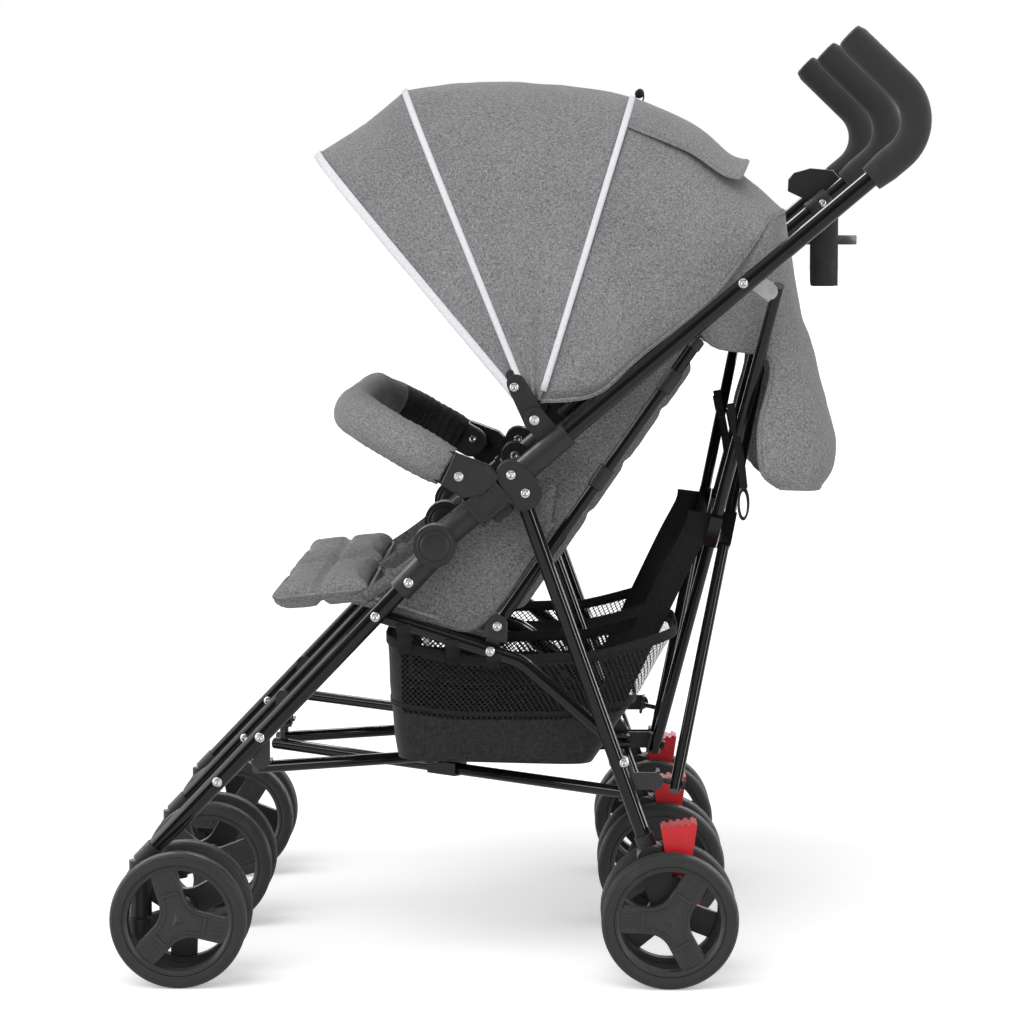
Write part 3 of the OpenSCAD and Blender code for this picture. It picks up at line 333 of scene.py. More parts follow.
finishRows = {
    # the effect and its values, the bump's strength and depth, and what the skin has of its own
    "greyCloth": ("weave", {"Dark": tone(0.082, 0.083, 0.086), "Light": tone(0.325, 0.327, 0.333)},
                  0.35, 0.0008, {"Sheen Weight": 0.12, "Specular IOR Level": 0.2}),
    # the seat's cloth is the grey cloth darkened by about half, with coarser flecks; the coarser flecks are the
    # fabric's own, the darkening is painted shade for the seat, its sides and wings under the hood and handles
    "seatCloth": ("weave", {"Dark": tone(0.04, 0.041, 0.043), "Light": tone(0.21, 0.211, 0.216), "Flecks": 620.0},
                  0.35, 0.0008, {"Sheen Weight": 0.12, "Specular IOR Level": 0.2}),
    "blackCloth": ("weave", {"Dark": tone(0.008), "Light": tone(0.03, 0.03, 0.032), "Flecks": 300.0},
                   0.3, 0.0007, {"Sheen Weight": 0.1, "Specular IOR Level": 0.25}),
    "paleTrim": ("weave", {"Dark": tone(0.62, 0.63, 0.65), "Light": tone(0.76, 0.77, 0.79)},
                 0.3, 0.0006, {"Specular IOR Level": 0.3}),
    "webbing": ("weave", {"Dark": tone(0.006), "Light": tone(0.022), "Pitch": 2600.0},
                0.6, 0.0008, {"Specular IOR Level": 0.3}),
    "framePaint": ("grain", {"Base": tone(0.006, 0.006, 0.0065), "Rubbed": tone(0.011, 0.011, 0.012),
                             "Pores": 260.0, "Smooth": 0.07, "Rough": 0.13},
                   0.02, 0.0003, {"Specular IOR Level": 0.34}),
    "blackPlastic": ("grain", {"Base": tone(0.018, 0.018, 0.019), "Rubbed": tone(0.028, 0.028, 0.029),
                               "Pores": 1500.0, "Smooth": 0.36, "Rough": 0.5},
                     0.15, 0.0003, {"Specular IOR Level": 0.35}),
    "hubPlastic": ("grain", {"Base": tone(0.025, 0.025, 0.026), "Rubbed": tone(0.04, 0.04, 0.042),
                             "Pores": 1500.0, "Smooth": 0.32, "Rough": 0.45},
                   0.1, 0.0003, {"Specular IOR Level": 0.4}),
    "tyreRubber": ("grain", {"Base": tone(0.024, 0.024, 0.0245), "Rubbed": tone(0.038),
                             "Pores": 700.0, "Smooth": 0.5, "Rough": 0.68},
                   0.2, 0.0004, {"Specular IOR Level": 0.35}),
    "gripFoam": ("grain", {"Base": tone(0.018), "Rubbed": tone(0.03), "Pores": 1100.0, "Smooth": 0.82, "Rough": 0.95},
                 0.5, 0.0006, {"Sheen Weight": 0.15}),
    "redPlastic": ("grain", {"Base": tone(0.5, 0.006, 0.012), "Rubbed": tone(0.6, 0.03, 0.03),
                             "Pores": 900.0, "Smooth": 0.3, "Rough": 0.42}, 0.08, 0.0003, {}),
    "brightSteel": ("grain", {"Base": tone(0.62, 0.63, 0.64), "Rubbed": tone(0.74, 0.74, 0.75),
                              "Pores": 500.0, "Smooth": 0.2, "Rough": 0.36}, 0.06, 0.0003, {"Metallic": 1.0}),
}
finishes = {name: newFinish(name, *row) for name, row in finishRows.items()}


def buildNetFinish():
    made = finishes["blackCloth"].copy()
    made.name = "blackNet"
    tree = made.node_tree
    effect = addNode(tree, "ShaderNodeGroup", node_tree=groups["net"])
    tree.links.new(effect.outputs["Alpha"], tree.nodes["Principled BSDF"].inputs["Alpha"])
    tree.links.new(effect.outputs["Height"], tree.nodes["Bump"].inputs["Height"])
    return made


def buildBracketFinish():
    made = finishes["brightSteel"].copy()
    made.name = "bracketSteel"
    tree = made.node_tree
    effect = addNode(tree, "ShaderNodeGroup", node_tree=groups["plating"])
    skin = tree.nodes["Principled BSDF"]
    for key in ("Metallic", "Roughness", "Color"):
        tree.links.new(effect.outputs[key], skin.inputs["Base Color" if key == "Color" else key])
    return made


finishes["blackNet"] = buildNetFinish()
finishes["bracketSteel"] = buildBracketFinish()
cadFinish = {
    "handle_tube": "framePaint", "front_leg": "framePaint", "rear_leg": "framePaint", "rear_cross": "framePaint",
    "floor_cross": "framePaint", "frame_fittings": "blackPlastic", "castor_fork": "blackPlastic",
    "steel_brackets": "bracketSteel", "brake_pedal": "redPlastic"}
for name, part in nodes.items():
    for start, finish in cadFinish.items():
        if name.startswith(start):
            part.data.materials.clear()
            part.data.materials.append(finishes[finish])
            edge = part.modifiers.new("edge", "BEVEL")
            edge.width = 0.6 * mm
            edge.segments = 2
            edge.limit_method = "ANGLE"
            edge.angle_limit = math.radians(50)
print("finishes made:", len(finishes))


# mesh helpers, all in millimetres
def addPiece(name, verts, faces, finish, body, slot, pick=None, uv=None):
    mesh = bpy.data.meshes.new(name)
    mesh.from_pydata([Vector(v) * mm for v in verts], [], faces)
    for key in [finish] if isinstance(finish, str) else finish:
        mesh.materials.append(finishes[key])
    if pick:
        mesh.polygons.foreach_set("material_index", pick)
    mesh.polygons.foreach_set("use_smooth", [True] * len(mesh.polygons))
    if uv:
        layer = mesh.uv_layers.new(name="cloth")
        for loop in mesh.loops:
            layer.data[loop.index].uv = uv[loop.vertex_index]
    work = bmesh.new()
    work.from_mesh(mesh)
    bmesh.ops.recalc_face_normals(work, faces=work.faces)
    work.to_mesh(mesh)
    work.free()
    piece = bpy.data.objects.new(name, mesh)
    scene.collection.objects.link(piece)
    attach(piece, body)
    return piece


def foldsUp(piece):
    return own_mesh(piece)


def sheetThickness(piece, thickness):
    skin = piece.modifiers.new("cloth", "SOLIDIFY")
    skin.thickness = thickness * mm
    skin.offset = 0.0


def sharpEdges(piece, angle=38):
    piece.data.set_sharp_from_angle(angle=math.radians(angle))


def gridFaces(rows, cols, closed=False):
    last = cols if closed else cols - 1
    return [(i * cols + j, i * cols + (j + 1) % cols, (i + 1) * cols + (j + 1) % cols, (i + 1) * cols + j)
            for i in range(rows - 1) for j in range(last)]


def freeEdge(verts, rows, cols):
    # Down one side of a grid, along its last row and back up the other side
    edge = [verts[i * cols] for i in range(rows)] + [verts[(rows - 1) * cols + j] for j in range(1, cols)]
    return edge + [verts[i * cols + cols - 1] for i in range(rows - 2, -1, -1)]


def mix(first, second, share):
    return first + (second - first) * share


def turned(point, angle, centre=(0.0, 0.0)):
    # A point turned by some degrees and moved to the centre
    c, s = math.cos(math.radians(angle)), math.sin(math.radians(angle))
    return (centre[0] + point[0] * c - point[1] * s, centre[1] + point[0] * s + point[1] * c)


def squared(turn, power):
    # A point on a circle pushed out towards a square
    c, s = math.cos(turn), math.sin(turn)
    return abs(c) ** power * (1 if c > 0 else -1), abs(s) ** power * (1 if s > 0 else -1)


def aroundTurn(count):
    return [2 * math.pi * k / count for k in range(count)]


def eachBay(build, report):
    for bay, y0 in bays.items():
        build(bay, y0)
    print(report)


def roundSection(radius, count=14):
    return [(radius * math.cos(t), radius * math.sin(t)) for t in aroundTurn(count)]


def strapSection(width, thick):
    w, t, c = width / 2, thick / 2, thick * 0.35
    return [(w - c, t), (-w + c, t), (-w, t - c), (-w, -t + c), (-w + c, -t), (w - c, -t), (w, -t + c), (w, t - c)]


def sweep(path, section, up, swell=None):
    # The section's first axis starts along up and is carried along the path without twist
    path = [Vector(p) for p in path]
    count, verts = len(section), []
    first = Vector(up)
    for k, here in enumerate(path):
        ahead = (path[min(k + 1, len(path) - 1)] - path[max(k - 1, 0)]).normalized()
        first = (first - ahead * first.dot(ahead)).normalized()
        second = ahead.cross(first)
        size = swell(k / (len(path) - 1)) if swell else 1.0
        verts += [here + first * (a * size) + second * (b * size) for a, b in section]
    faces = gridFaces(len(path), count, closed=True)
    faces += [tuple(range(count))[::-1], tuple(range(len(verts) - count, len(verts)))]
    return verts, faces


def joined(parts):
    verts, faces = [], []
    for newVerts, newFaces in parts:
        start = len(verts)
        verts += list(newVerts)
        faces += [tuple(start + i for i in face) for face in newFaces]
    return verts, faces


def lathe(centre, axis, profile, count=24):
    # profile is (radius, height) along the axis; the ends close on themselves
    axis = Vector(axis).normalized()
    first = axis.orthogonal().normalized()
    second = axis.cross(first)
    verts = [Vector(centre) + axis * h + (first * math.cos(t) + second * math.sin(t)) * r
             for r, h in profile for t in aroundTurn(count)]
    faces = gridFaces(len(profile), count, closed=True)
    faces += [tuple(range(count))[::-1], tuple(range(len(verts) - count, len(verts)))]
    return verts, faces


def ring(centre, axis, profile, count=48):
    # A closed profile turned round the axis
    verts, faces = lathe(centre, axis, profile, count)
    last = (len(profile) - 1) * count
    return verts, faces[:-2] + [(last + j, last + (j + 1) % count, (j + 1) % count, j) for j in range(count)]


def rivet(x, z, y, out, radius=5.6, height=2.6):
    profile = [(radius, -1.5), (radius, 0.4), (radius * 0.93, height * 0.55), (radius * 0.7, height * 0.92),
               (radius * 0.42, height), (radius * 0.36, height * 0.62), (radius * 0.05, height * 0.6)]
    return lathe((x, y, z), (0, out, 0), profile, 20)


def hullOutline(a, ra, b, rb, count=12):
    # Outline of a plate round two bosses, as (x, z)
    run = math.atan2(b[1] - a[1], b[0] - a[0])
    apart = math.dist(a, b)
    lean = math.acos(max(-1, min(1, (ra - rb) / apart)))
    outline = []
    for centre, radius, start, way in ((a, ra, run + lean, 2 * math.pi - 2 * lean), (b, rb, run - lean, 2 * lean)):
        for t in [start + way * k / count for k in range(count + 1)]:
            outline.append((centre[0] + radius * math.cos(t), centre[1] + radius * math.sin(t)))
    return outline


def slab(outline, y0, y1, bevel=0.8):
    # A plate with eased edges between two planes across the part
    centre = Vector((sum(p[0] for p in outline) / len(outline), sum(p[1] for p in outline) / len(outline)))

    def drawn(inset):
        return [Vector(p) - (Vector(p) - centre).normalized() * inset for p in outline]
    step = bevel if y1 > y0 else -bevel
    rims = [(drawn(bevel), y0), (drawn(0), y0 + step), (drawn(0), y1 - step), (drawn(bevel), y1)]
    verts = [(p[0], y, p[1]) for rim, y in rims for p in rim]
    count = len(outline)
    faces = gridFaces(4, count, closed=True)
    faces += [tuple(range(count))[::-1], tuple(range(3 * count, 4 * count))]
    return verts, faces


def spline(points, steps):
    # Catmull-Rom through the points, which may have any number of coordinates
    found = []
    for k in range(len(points) - 1):
        quad = [points[max(k - 1, 0)], points[k], points[k + 1], points[min(k + 2, len(points) - 1)]]
        for s in range(steps):
            t = s / steps
            weights = (-t ** 3 + 2 * t ** 2 - t, 3 * t ** 3 - 5 * t ** 2 + 2,
                       -3 * t ** 3 + 4 * t ** 2 + t, t ** 3 - t ** 2)
            found.append(tuple(sum(w * p[i] for w, p in zip(weights, quad)) / 2 for i in range(len(points[0]))))
    return found + [tuple(points[-1])]


def crumple(point, size, seed):
    return noise.noise(Vector(point) / size + Vector((seed, seed * 1.7, seed * 0.3)))


# foam grips on the hooked handle ends
grip = {"start": (386.0, 891.2), "bend": (416.61, 917.0), "centre": (384.39, 955.23), "bendRadius": 50.0,
        "bendTurn": 96.0, "handleAngle": 40.125, "end": 80.0, "radius": 17.2,
        "cap": [(15.0, -0.5), (14.0, 1.0), (11.5, 1.9), (6.0, 2.3), (0.3, 2.4)]}


def buildGrips():
    path = [grip["start"], tuple((a + b) / 2 for a, b in zip(grip["start"], grip["bend"]))]
    for k in range(17):
        turn = grip["handleAngle"] - 90 + grip["bendTurn"] * k / 16
        path.append(turned((grip["bendRadius"], 0), turn, grip["centre"]))
    lead = grip["handleAngle"] + grip["bendTurn"]
    stop = path[-1]
    path += [turned((grip["end"] * k / 10, 0), lead, stop) for k in range(1, 11)]
    ahead = turned((1, 0), lead)

    def swell(share):
        # rounded ends, and a slight fullness in the palm
        near = min(share, 1 - share)
        return (0.86 + 0.14 * min(1, near / 0.02)) * (1 + 0.012 * math.sin(math.pi * share))
    for side, y in sides.items():
        verts, faces = sweep([(x, y, z) for x, z in path], roundSection(grip["radius"], 28), (0, 1, 0), swell)
        tip = Vector((path[-1][0], y, path[-1][1]))
        cap = lathe(tip, (ahead[0], 0, ahead[1]), grip["cap"], 28)
        piece = addPiece("grip_foam_" + side, *joined([(verts, faces), cap]), "gripFoam", frameBody[side], "grip_foam")
        sharpEdges(piece, 60)
        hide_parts("grip_" + side)


buildGrips()
print("grips made")


# hoods
hood = {"hinge": (17.61, 627.0), "front": (130.0, 384.0), "middle": (112.0, 394.0), "rear": (73.0, 374.0),
        "half": 151.5, "foot": 20.8, "power": 0.55, "columns": 61, "cloth": 1.8, "piping": 3.7,
        "panels": (("front", "middle", 9, 0.018), ("middle", "rear", 22, 0.02)),  # bows, rows and sag
        "wave": 2.2, "crease": 1.0, "sideWave": 5.0, "pleat": 2.6, "slack": 1.4}


def archTurn(q):
    # Spreads the points evenly over the squared arch, q from 0 to 1
    x = min(1.0, max(0.0, 2 * q if q <= 0.5 else 2 - 2 * q))
    turn = math.pi / 2 * x ** 1.8 / (x ** 1.8 + (1 - x) ** 1.8)
    return turn if q <= 0.5 else math.pi - turn


def archPoint(foot, top, half, q, lift=0.0):
    turn = archTurn(q)
    power = hood["power"]
    reach = math.dist(foot, top)
    lean = ((top[0] - foot[0]) / reach, (top[1] - foot[1]) / reach)
    s, c = abs(math.sin(turn)) ** power, abs(math.cos(turn)) ** power
    side = 1 if math.cos(turn) > 0 else -1
    steep = 2 / power - 1
    nOut, nSide = s ** steep / reach, c ** steep / half
    size = math.hypot(nOut, nSide)
    out = reach * s + lift * nOut / size
    across = side * (half * c + lift * nSide / size)
    return (foot[0] + lean[0] * out, across, foot[1] + lean[1] * out)


def bowEnds(angle, length):
    return [turned((reach, 0), angle, hood["hinge"]) for reach in (hood["foot"], length)]


def buildHood(bay, y0):
    rows = []
    for first, last, steps, sag in hood["panels"]:
        for k in range(steps + (last == "rear")):
            slack = math.sin(math.pi * k / steps)
            angle, length = [mix(a, b, k / steps) for a, b in zip(hood[first], hood[last])]
            rows.append((angle, length * (1 - sag * slack), slack))
    cols = hood["columns"]
    verts = []
    for angle, length, slack in rows:
        foot, top = bowEnds(angle, length)
        for j in range(cols):
            q = j / (cols - 1)
            side = 1 - abs(math.sin(archTurn(q))) ** hood["power"]  # 1 at the hinge, 0 at the crown
            p = archPoint(foot, top, hood["half"], q)
            lift = hood["wave"] * crumple(p, 60, y0) + hood["crease"] * crumple(p, 22, y0 + 3) - hood["slack"]
            lift += hood["sideWave"] * side * crumple((p[0] * 0.5, p[1], p[2] * 1.6), 34, y0 + 9)
            lift += hood["pleat"] * side ** 1.5 * math.sin(math.radians(angle * 24))
            verts.append(archPoint(foot, top, hood["half"], q, slack * lift))
    verts = [(x, y + y0, z) for x, y, z in verts]
    piece = addPiece("hood_cloth_" + bay, verts, gridFaces(len(rows), cols), "greyCloth", "hood_" + bay, "grey_cloth")
    sheetThickness(piece, hood["cloth"])
    foldsUp(piece)
    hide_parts("hood_" + bay)
    # pale piping on the bows; the rear one covers the seam to the fixed back
    parts = []
    for name in ("front", "middle", "rear"):
        foot, top = bowEnds(*hood[name])
        path = [archPoint(foot, top, hood["half"], 0.012 + 0.976 * j / 80, 0.9) for j in range(81)]
        wide = 1.3 if name == "front" else 1.0
        section = [(a * wide * hood["piping"] / 2, b) for a, b in roundSection(2.0, 12)]
        parts.append(sweep([(x, y + y0, z) for x, y, z in path], section, (1, 0, 0.4)))
    trim = addPiece("hood_piping_" + bay, *joined(parts), "paleTrim", "hood_" + bay, "grey_cloth")
    foldsUp(trim)


eachBay(buildHood, "hoods made")

hingeArm = {"reach": 44.0, "stop": 53.68, "angle": 118.0, "bossRadius": 13.0, "endRadius": 10.5,
            "outer": 155.4, "inner": 149.6}


def buildHingeArms():
    hinge = hood["hinge"]
    end, stop = [turned((hingeArm[reach], 0), hingeArm["angle"], hinge) for reach in ("reach", "stop")]
    arm = hullOutline(hinge, hingeArm["bossRadius"], end, hingeArm["endRadius"])
    tip = hullOutline(end, 8.5, stop, 7.0)
    for bay, y0 in bays.items():
        arms, studs = [], []
        for s in (-1, 1):
            inner, outer = hingeArm["inner"], hingeArm["outer"]
            arms.append(slab(arm, y0 + s * inner, y0 + s * outer, 1.2))
            arms.append(slab(tip, y0 + s * (inner - 3), y0 + s * (outer - 1.5), 1.0))
            studs.append(rivet(end[0] - 2, end[1] - 4, y0 + s * outer, s))
        piece = addPiece("hood_hinge_" + bay, *joined(arms), "blackPlastic", "hood_" + bay, "black_plastic")
        sharpEdges(piece)
        foldsUp(piece)
        stud = addPiece("hood_rivets_" + bay, *joined(studs), "brightSteel", "hood_" + bay, "bright_steel")
        foldsUp(stud)


buildHingeArms()
print("hood hinges made")

hoodBack = {
    # foot (x, z), top (x, z), half width: from the rear bow down to the corner seam
    "gore": [(23.7, 646.9, 126.3, 982.5, 148.0), (83.9, 654.2, 194.6, 945.8, 148.0),
             (132.6, 695.3, 235.6, 909.6, 143.6), (216.0, 765.0, 272.8, 879.9, 133.0),
             (279.6, 849.3, 298.3, 856.8, 122.0)],
    # and from the seam down to the hem of the flap that hangs behind the crossed bars
    "flap": [(279.6, 849.3, 298.3, 856.8, 122.0), (250.0, 806.0, 306.0, 808.0, 120.0),
             (203.0, 752.0, 318.0, 750.0, 108.0), (216.0, 708.0, 331.0, 706.0, 90.0),
             (281.0, 690.0, 336.0, 684.0, 90.0), (270.0, 620.0, 351.0, 628.0, 104.0),
             (269.0, 588.0, 359.0, 600.0, 108.0), (274.0, 562.0, 357.0, 568.0, 106.0),
             (292.0, 547.0, 343.0, 545.0, 98.0)],
    # rows between two ribs, looseness, and the flat size and area
    "panels": {"gore": (7, 1.0, (0.72, 0.32), 0.13), "flap": (6, 1.7, (0.36, 0.38), 0.105)},
    "columns": 49, "cloth": 1.8}


def ribGrid(ribs, y0, steps, loose):
    rows = spline(ribs, steps)
    cols = hoodBack["columns"]
    verts = []
    for k, rib in enumerate(rows):
        slack = math.sin(math.pi * k / (len(rows) - 1)) ** 0.5
        for j in range(cols):
            q = j / (cols - 1)
            p = archPoint(rib[:2], rib[2:4], rib[4], q)
            wave = slack * loose * (1.6 * crumple(p, 55, y0 + 7) + 0.9 * crumple(p, 20, y0 + 11))
            x, y, z = archPoint(rib[:2], rib[2:4], rib[4], q, wave)
            verts.append((x, y + y0, z))
    return verts, len(rows)


def buildHoodBack(bay, y0):
    cols = hoodBack["columns"]
    for name, (steps, loose, flat, area) in hoodBack["panels"].items():
        verts, rows = ribGrid(hoodBack[name], y0, steps, loose)
        piece = addPiece("hood_" + name + "_" + bay, verts, gridFaces(rows, cols), "greyCloth",
                         "middle_frame", "grey_cloth")
        sheetThickness(piece, hoodBack["cloth"])
        foldsUp(piece)
        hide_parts("hood_back_" + bay)
        # binding along the free edges
        edges = [[verts[i * cols + j] for i in range(rows)] for j in (0, cols - 1)]
        edges.append([verts[(rows - 1) * cols + j] for j in range(cols)])
        parts = [sweep(edge, strapSection(3.4, 6.0), (0, 1, 0)) for edge in edges]
        trim = addPiece("hood_" + name + "_hem_" + bay, *joined(parts), "greyCloth", "middle_frame", "grey_cloth")
        foldsUp(trim)


eachBay(buildHoodBack, "hood backs made")

window = {"ribs": [(23.7, 646.9, 126.96, 984.65, 148.0), (83.9, 654.2, 196.2, 949.2, 148.0),
                   (126.0, 690.0, 233.0, 915.0, 146.0), (140.0, 700.0, 252.0, 905.0, 150.0)],
          "lift": (1.5, 5.0, 8.0, 11.0), "from": 0.285, "to": 0.715, "columns": 31, "cloth": 1.8}
toggle = {"bead": [(1.2, -11.5), (3.6, -10.5), (5.0, -7.5), (5.2, 0.0), (5.0, 7.5), (3.6, 10.5), (1.2, 11.5)],
          "strap": ((4, -2), (5, 4), (8, 8), (12, 6), (13, 0), (12, -5)), "width": 9.0}


def buildWindowFlap(bay, y0):
    rows = spline([(*rib, lift) for rib, lift in zip(window["ribs"], window["lift"])], 7)
    cols = window["columns"]
    verts = []
    for rib in rows:
        for j in range(cols):
            q = mix(window["from"], window["to"], j / (cols - 1))
            lift = rib[5] + 0.8 * crumple((rib[2], j * 9, rib[3]), 40, y0)
            x, y, z = archPoint(rib[:2], rib[2:4], rib[4], q, lift)
            verts.append((x, y + y0, z))
    piece = addPiece("window_flap_" + bay, verts, gridFaces(len(rows), cols), "greyCloth", "hood_" + bay, "grey_cloth")
    sheetThickness(piece, window["cloth"])
    foldsUp(piece)
    hem = sweep(freeEdge(verts, len(rows), cols), strapSection(3.2, 5.0), (0, 0, 1))
    trim = addPiece("window_hem_" + bay, *hem, "greyCloth", "hood_" + bay, "grey_cloth")
    foldsUp(trim)
    # the black toggle that holds the rolled flap
    x, y, z = archPoint(rows[0][:2], rows[0][2:4], rows[0][4], 0.5, 3.0)
    strap = spline([(x + d, y + y0, z + h) for d, h in toggle["strap"]], 4)
    parts = [lathe((x + 8, y + y0, z + 3), (0, 1, 0), toggle["bead"], 20),
             sweep(strap, strapSection(toggle["width"], 1.6), (0, 1, 0))]
    tab = addPiece("window_toggle_" + bay, *joined(parts), "webbing", "hood_" + bay, "black_cloth")
    foldsUp(tab)


eachBay(buildWindowFlap, "window flaps made")

# the bumper bar, one hoop across both seats
bumper = {"pivot": (-67.39, 565.0), "tilt": 29.0, "half": 307.05, "straight": 54.0, "corner": 85.0,
          "inPlane": 21.0, "across": 25.0, "padStart": 15.0, "sides": 32, "gather": 1.5, "blackTo": 112.0,
          "endHalf": 13.0, "endRadii": (19.0, 19.5)}


def bumperPoint(run, across, up=0.0):
    # run goes forward along the arms, up stands square to the hoop
    x, z = turned((-run, up), -bumper["tilt"], bumper["pivot"])
    return (x, across, z)


def buildBumper():
    half, corner, straight, first = (bumper[k] for k in ("half", "corner", "straight", "padStart"))
    flat = [(mix(first, straight, k / 12), -half) for k in range(12)]
    for k in range(45):
        t = math.pi / 2 * k / 44
        flat.append((straight + corner * math.sin(t), -half + corner * (1 - math.cos(t))))
    flat += [(straight + corner, (-half + corner) * (1 - k / 20)) for k in range(1, 21)]
    flat += [(run, -across) for run, across in reversed(flat[:-1])]
    path = [Vector(bumperPoint(*place)) for place in flat]
    count = bumper["sides"]
    verts = []
    upward = Vector(bumperPoint(0, 0, 1)) - Vector(bumperPoint(0, 0, 0))
    for k, here in enumerate(path):
        ahead = (path[min(k + 1, len(path) - 1)] - path[max(k - 1, 0)]).normalized()
        inward = ahead.cross(upward).normalized()
        share = k / (len(path) - 1)
        near = min(share, 1 - share)
        ends = 0.92 + 0.08 * min(1, near / 0.03)
        arm = max(0, 1 - flat[k][0] / (straight + corner))
        for t in aroundTurn(count):
            c, s = math.cos(t), math.sin(t)
            spot = here + inward * (20 * c) + upward * (20 * s)
            folds = math.sin(near * 330 + 3 * crumple(spot, 30, 2)) * min(1, 2.2 * arm) * max(0, 0.3 + c)
            swell = bumper["gather"] * folds + 1.3 * crumple(spot, 34, 5) + 0.5 * crumple(spot, 13, 8)
            size = ends * (1 + swell / 26)
            verts.append(here + inward * (bumper["inPlane"] * size * c) + upward * (bumper["across"] * size * s))
    faces = gridFaces(len(path), count, closed=True)
    # black on the inner side of the arms, grey all round in front
    pick = []
    for k in range(len(faces)):
        inner = math.cos(2 * math.pi * ((k % count) + 0.5) / count) > 0.1
        pick.append(1 if inner and flat[k // count][0] < bumper["blackTo"] else 0)
    faces += [tuple(range(count))[::-1], tuple(range(len(verts) - count, len(verts)))]
    piece = addPiece("bumper_pad", verts, faces, ["greyCloth", "blackCloth"], "bumper_bar", "grey_cloth",
                     pick + [1, 1])
    foldsUp(piece)
    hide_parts("bumper_bar")
    # moulded ends on the arm brackets' pivots
    ends, studs = [], []
    near, far = bumper["pivot"], bumperPoint(first + 10, 0)
    outline = hullOutline(near, bumper["endRadii"][0], (far[0], far[2]), bumper["endRadii"][1], 20)
    inner, outer = half - bumper["endHalf"], half + bumper["endHalf"]
    for s in (-1, 1):
        ends.append(slab(outline, s * inner, s * outer, 2.4))
        for face, out in ((outer, s), (inner, -s)):
            studs.append(rivet(near[0] + 2, near[1] + 4, s * face, out))
    moulding = addPiece("bumper_ends", *joined(ends), "blackPlastic", "bumper_bar", "black_plastic")
    sharpEdges(moulding)
    foldsUp(moulding)
    stud = addPiece("bumper_rivets", *joined(studs), "brightSteel", "bumper_bar", "bright_steel")
    foldsUp(stud)


buildBumper()
print("bumper bar made")

# padded pieces: length runs from the start along the lean, thickness towards the child
pads = {
    "calf": {"start": (-166.5, 436.0), "lean": 186.0, "face": 96.0, "length": 111.0, "width": 276.0, "thick": 25.0,
             "ribs": 8, "seams": 1, "sharp": 4, "depth": 5.0, "draw": 0.02, "taper": 0.0, "cap": 5.0,
             "body": "calf_rest_", "node": "calf_rest_", "columns": 128, "rows": 40, "finish": "greyCloth"},
    # the seat and back pads take the darkened seat cloth, whose darkness is painted shade
    "seat": {"start": (-171.5, 430.0), "lean": -18.0, "face": 72.0, "length": 160.0, "width": 300.0, "thick": 13.0,
             "ribs": 7, "seams": 2, "sharp": 10, "depth": 2.2, "draw": 0.02, "taper": 0.17, "cap": 5.0,
             "body": "middle_frame", "node": "seat_", "columns": 64, "rows": 36, "finish": "seatCloth"},
    "back": {"start": (-11.4, 406.1), "lean": 55.0, "face": 145.0, "length": 356.0, "width": 254.0, "thick": 15.0,
             "ribs": 5, "seams": 4, "sharp": 10, "depth": 2.2, "draw": 0.03, "taper": 0.0, "cap": 5.0,
             "body": "backrest_", "node": "backrest_", "columns": 52, "rows": 60, "finish": "seatCloth"},
}
swelling = {"voxel": 5.0, "pressure": 4.0, "quality": 4, "frames": 20}


def padFrame(pad, y0):
    lean, face = math.radians(pad["lean"]), math.radians(pad["face"])
    along = Vector((math.cos(lean), 0, math.sin(lean)))
    thick = Vector((math.cos(face), 0, math.sin(face)))
    return Vector((pad["start"][0], y0, pad["start"][1])), along, thick


def padHalf(pad, u):
    # Half the width: drawn in along the middle, and narrower past the backrest's plates
    late = min(1, max(0, (u - 0.68) / 0.14))
    return pad["width"] / 2 * (1 - pad["draw"] * math.sin(math.pi * u) - pad["taper"] * late * late * (3 - 2 * late))


def padShape(pad, y0):
    # A closed pillow: two crowned skins that meet along one rim
    start, along, thick = padFrame(pad, y0)
    rows, cols = pad["rows"], pad["columns"]
    rim, skins, verts = {}, [{}, {}], []
    for skin in (0, 1):
        for i in range(rows + 1):
            for j in range(cols + 1):
                u, v = i / rows, 2 * j / cols - 1
                edge = i in (0, rows) or j in (0, cols)
                if edge and (i, j) in rim:
                    skins[skin][i, j] = rim[i, j]
                    continue
                near = min(u * pad["length"], (1 - u) * pad["length"], (1 - abs(v)) * pad["width"] / 2)
                crown = math.sqrt(max(0.0, 1 - (1 - min(1, near / 9)) ** 2))
                w = (1 if skin else -1) * pad["thick"] * 0.42 * crown
                verts.append(start + along * (u * pad["length"]) + thick * w + Vector((0, v * padHalf(pad, u), 0)))
                skins[skin][i, j] = len(verts) - 1
                if edge:
                    rim[i, j] = len(verts) - 1
    faces = []
    for skin in (0, 1):
        for i in range(rows):
            for j in range(cols):
                quad = [skins[skin][p] for p in ((i, j), (i, j + 1), (i + 1, j + 1), (i + 1, j))]
                faces.append(tuple(quad if skin else quad[::-1]))
    return verts, faces


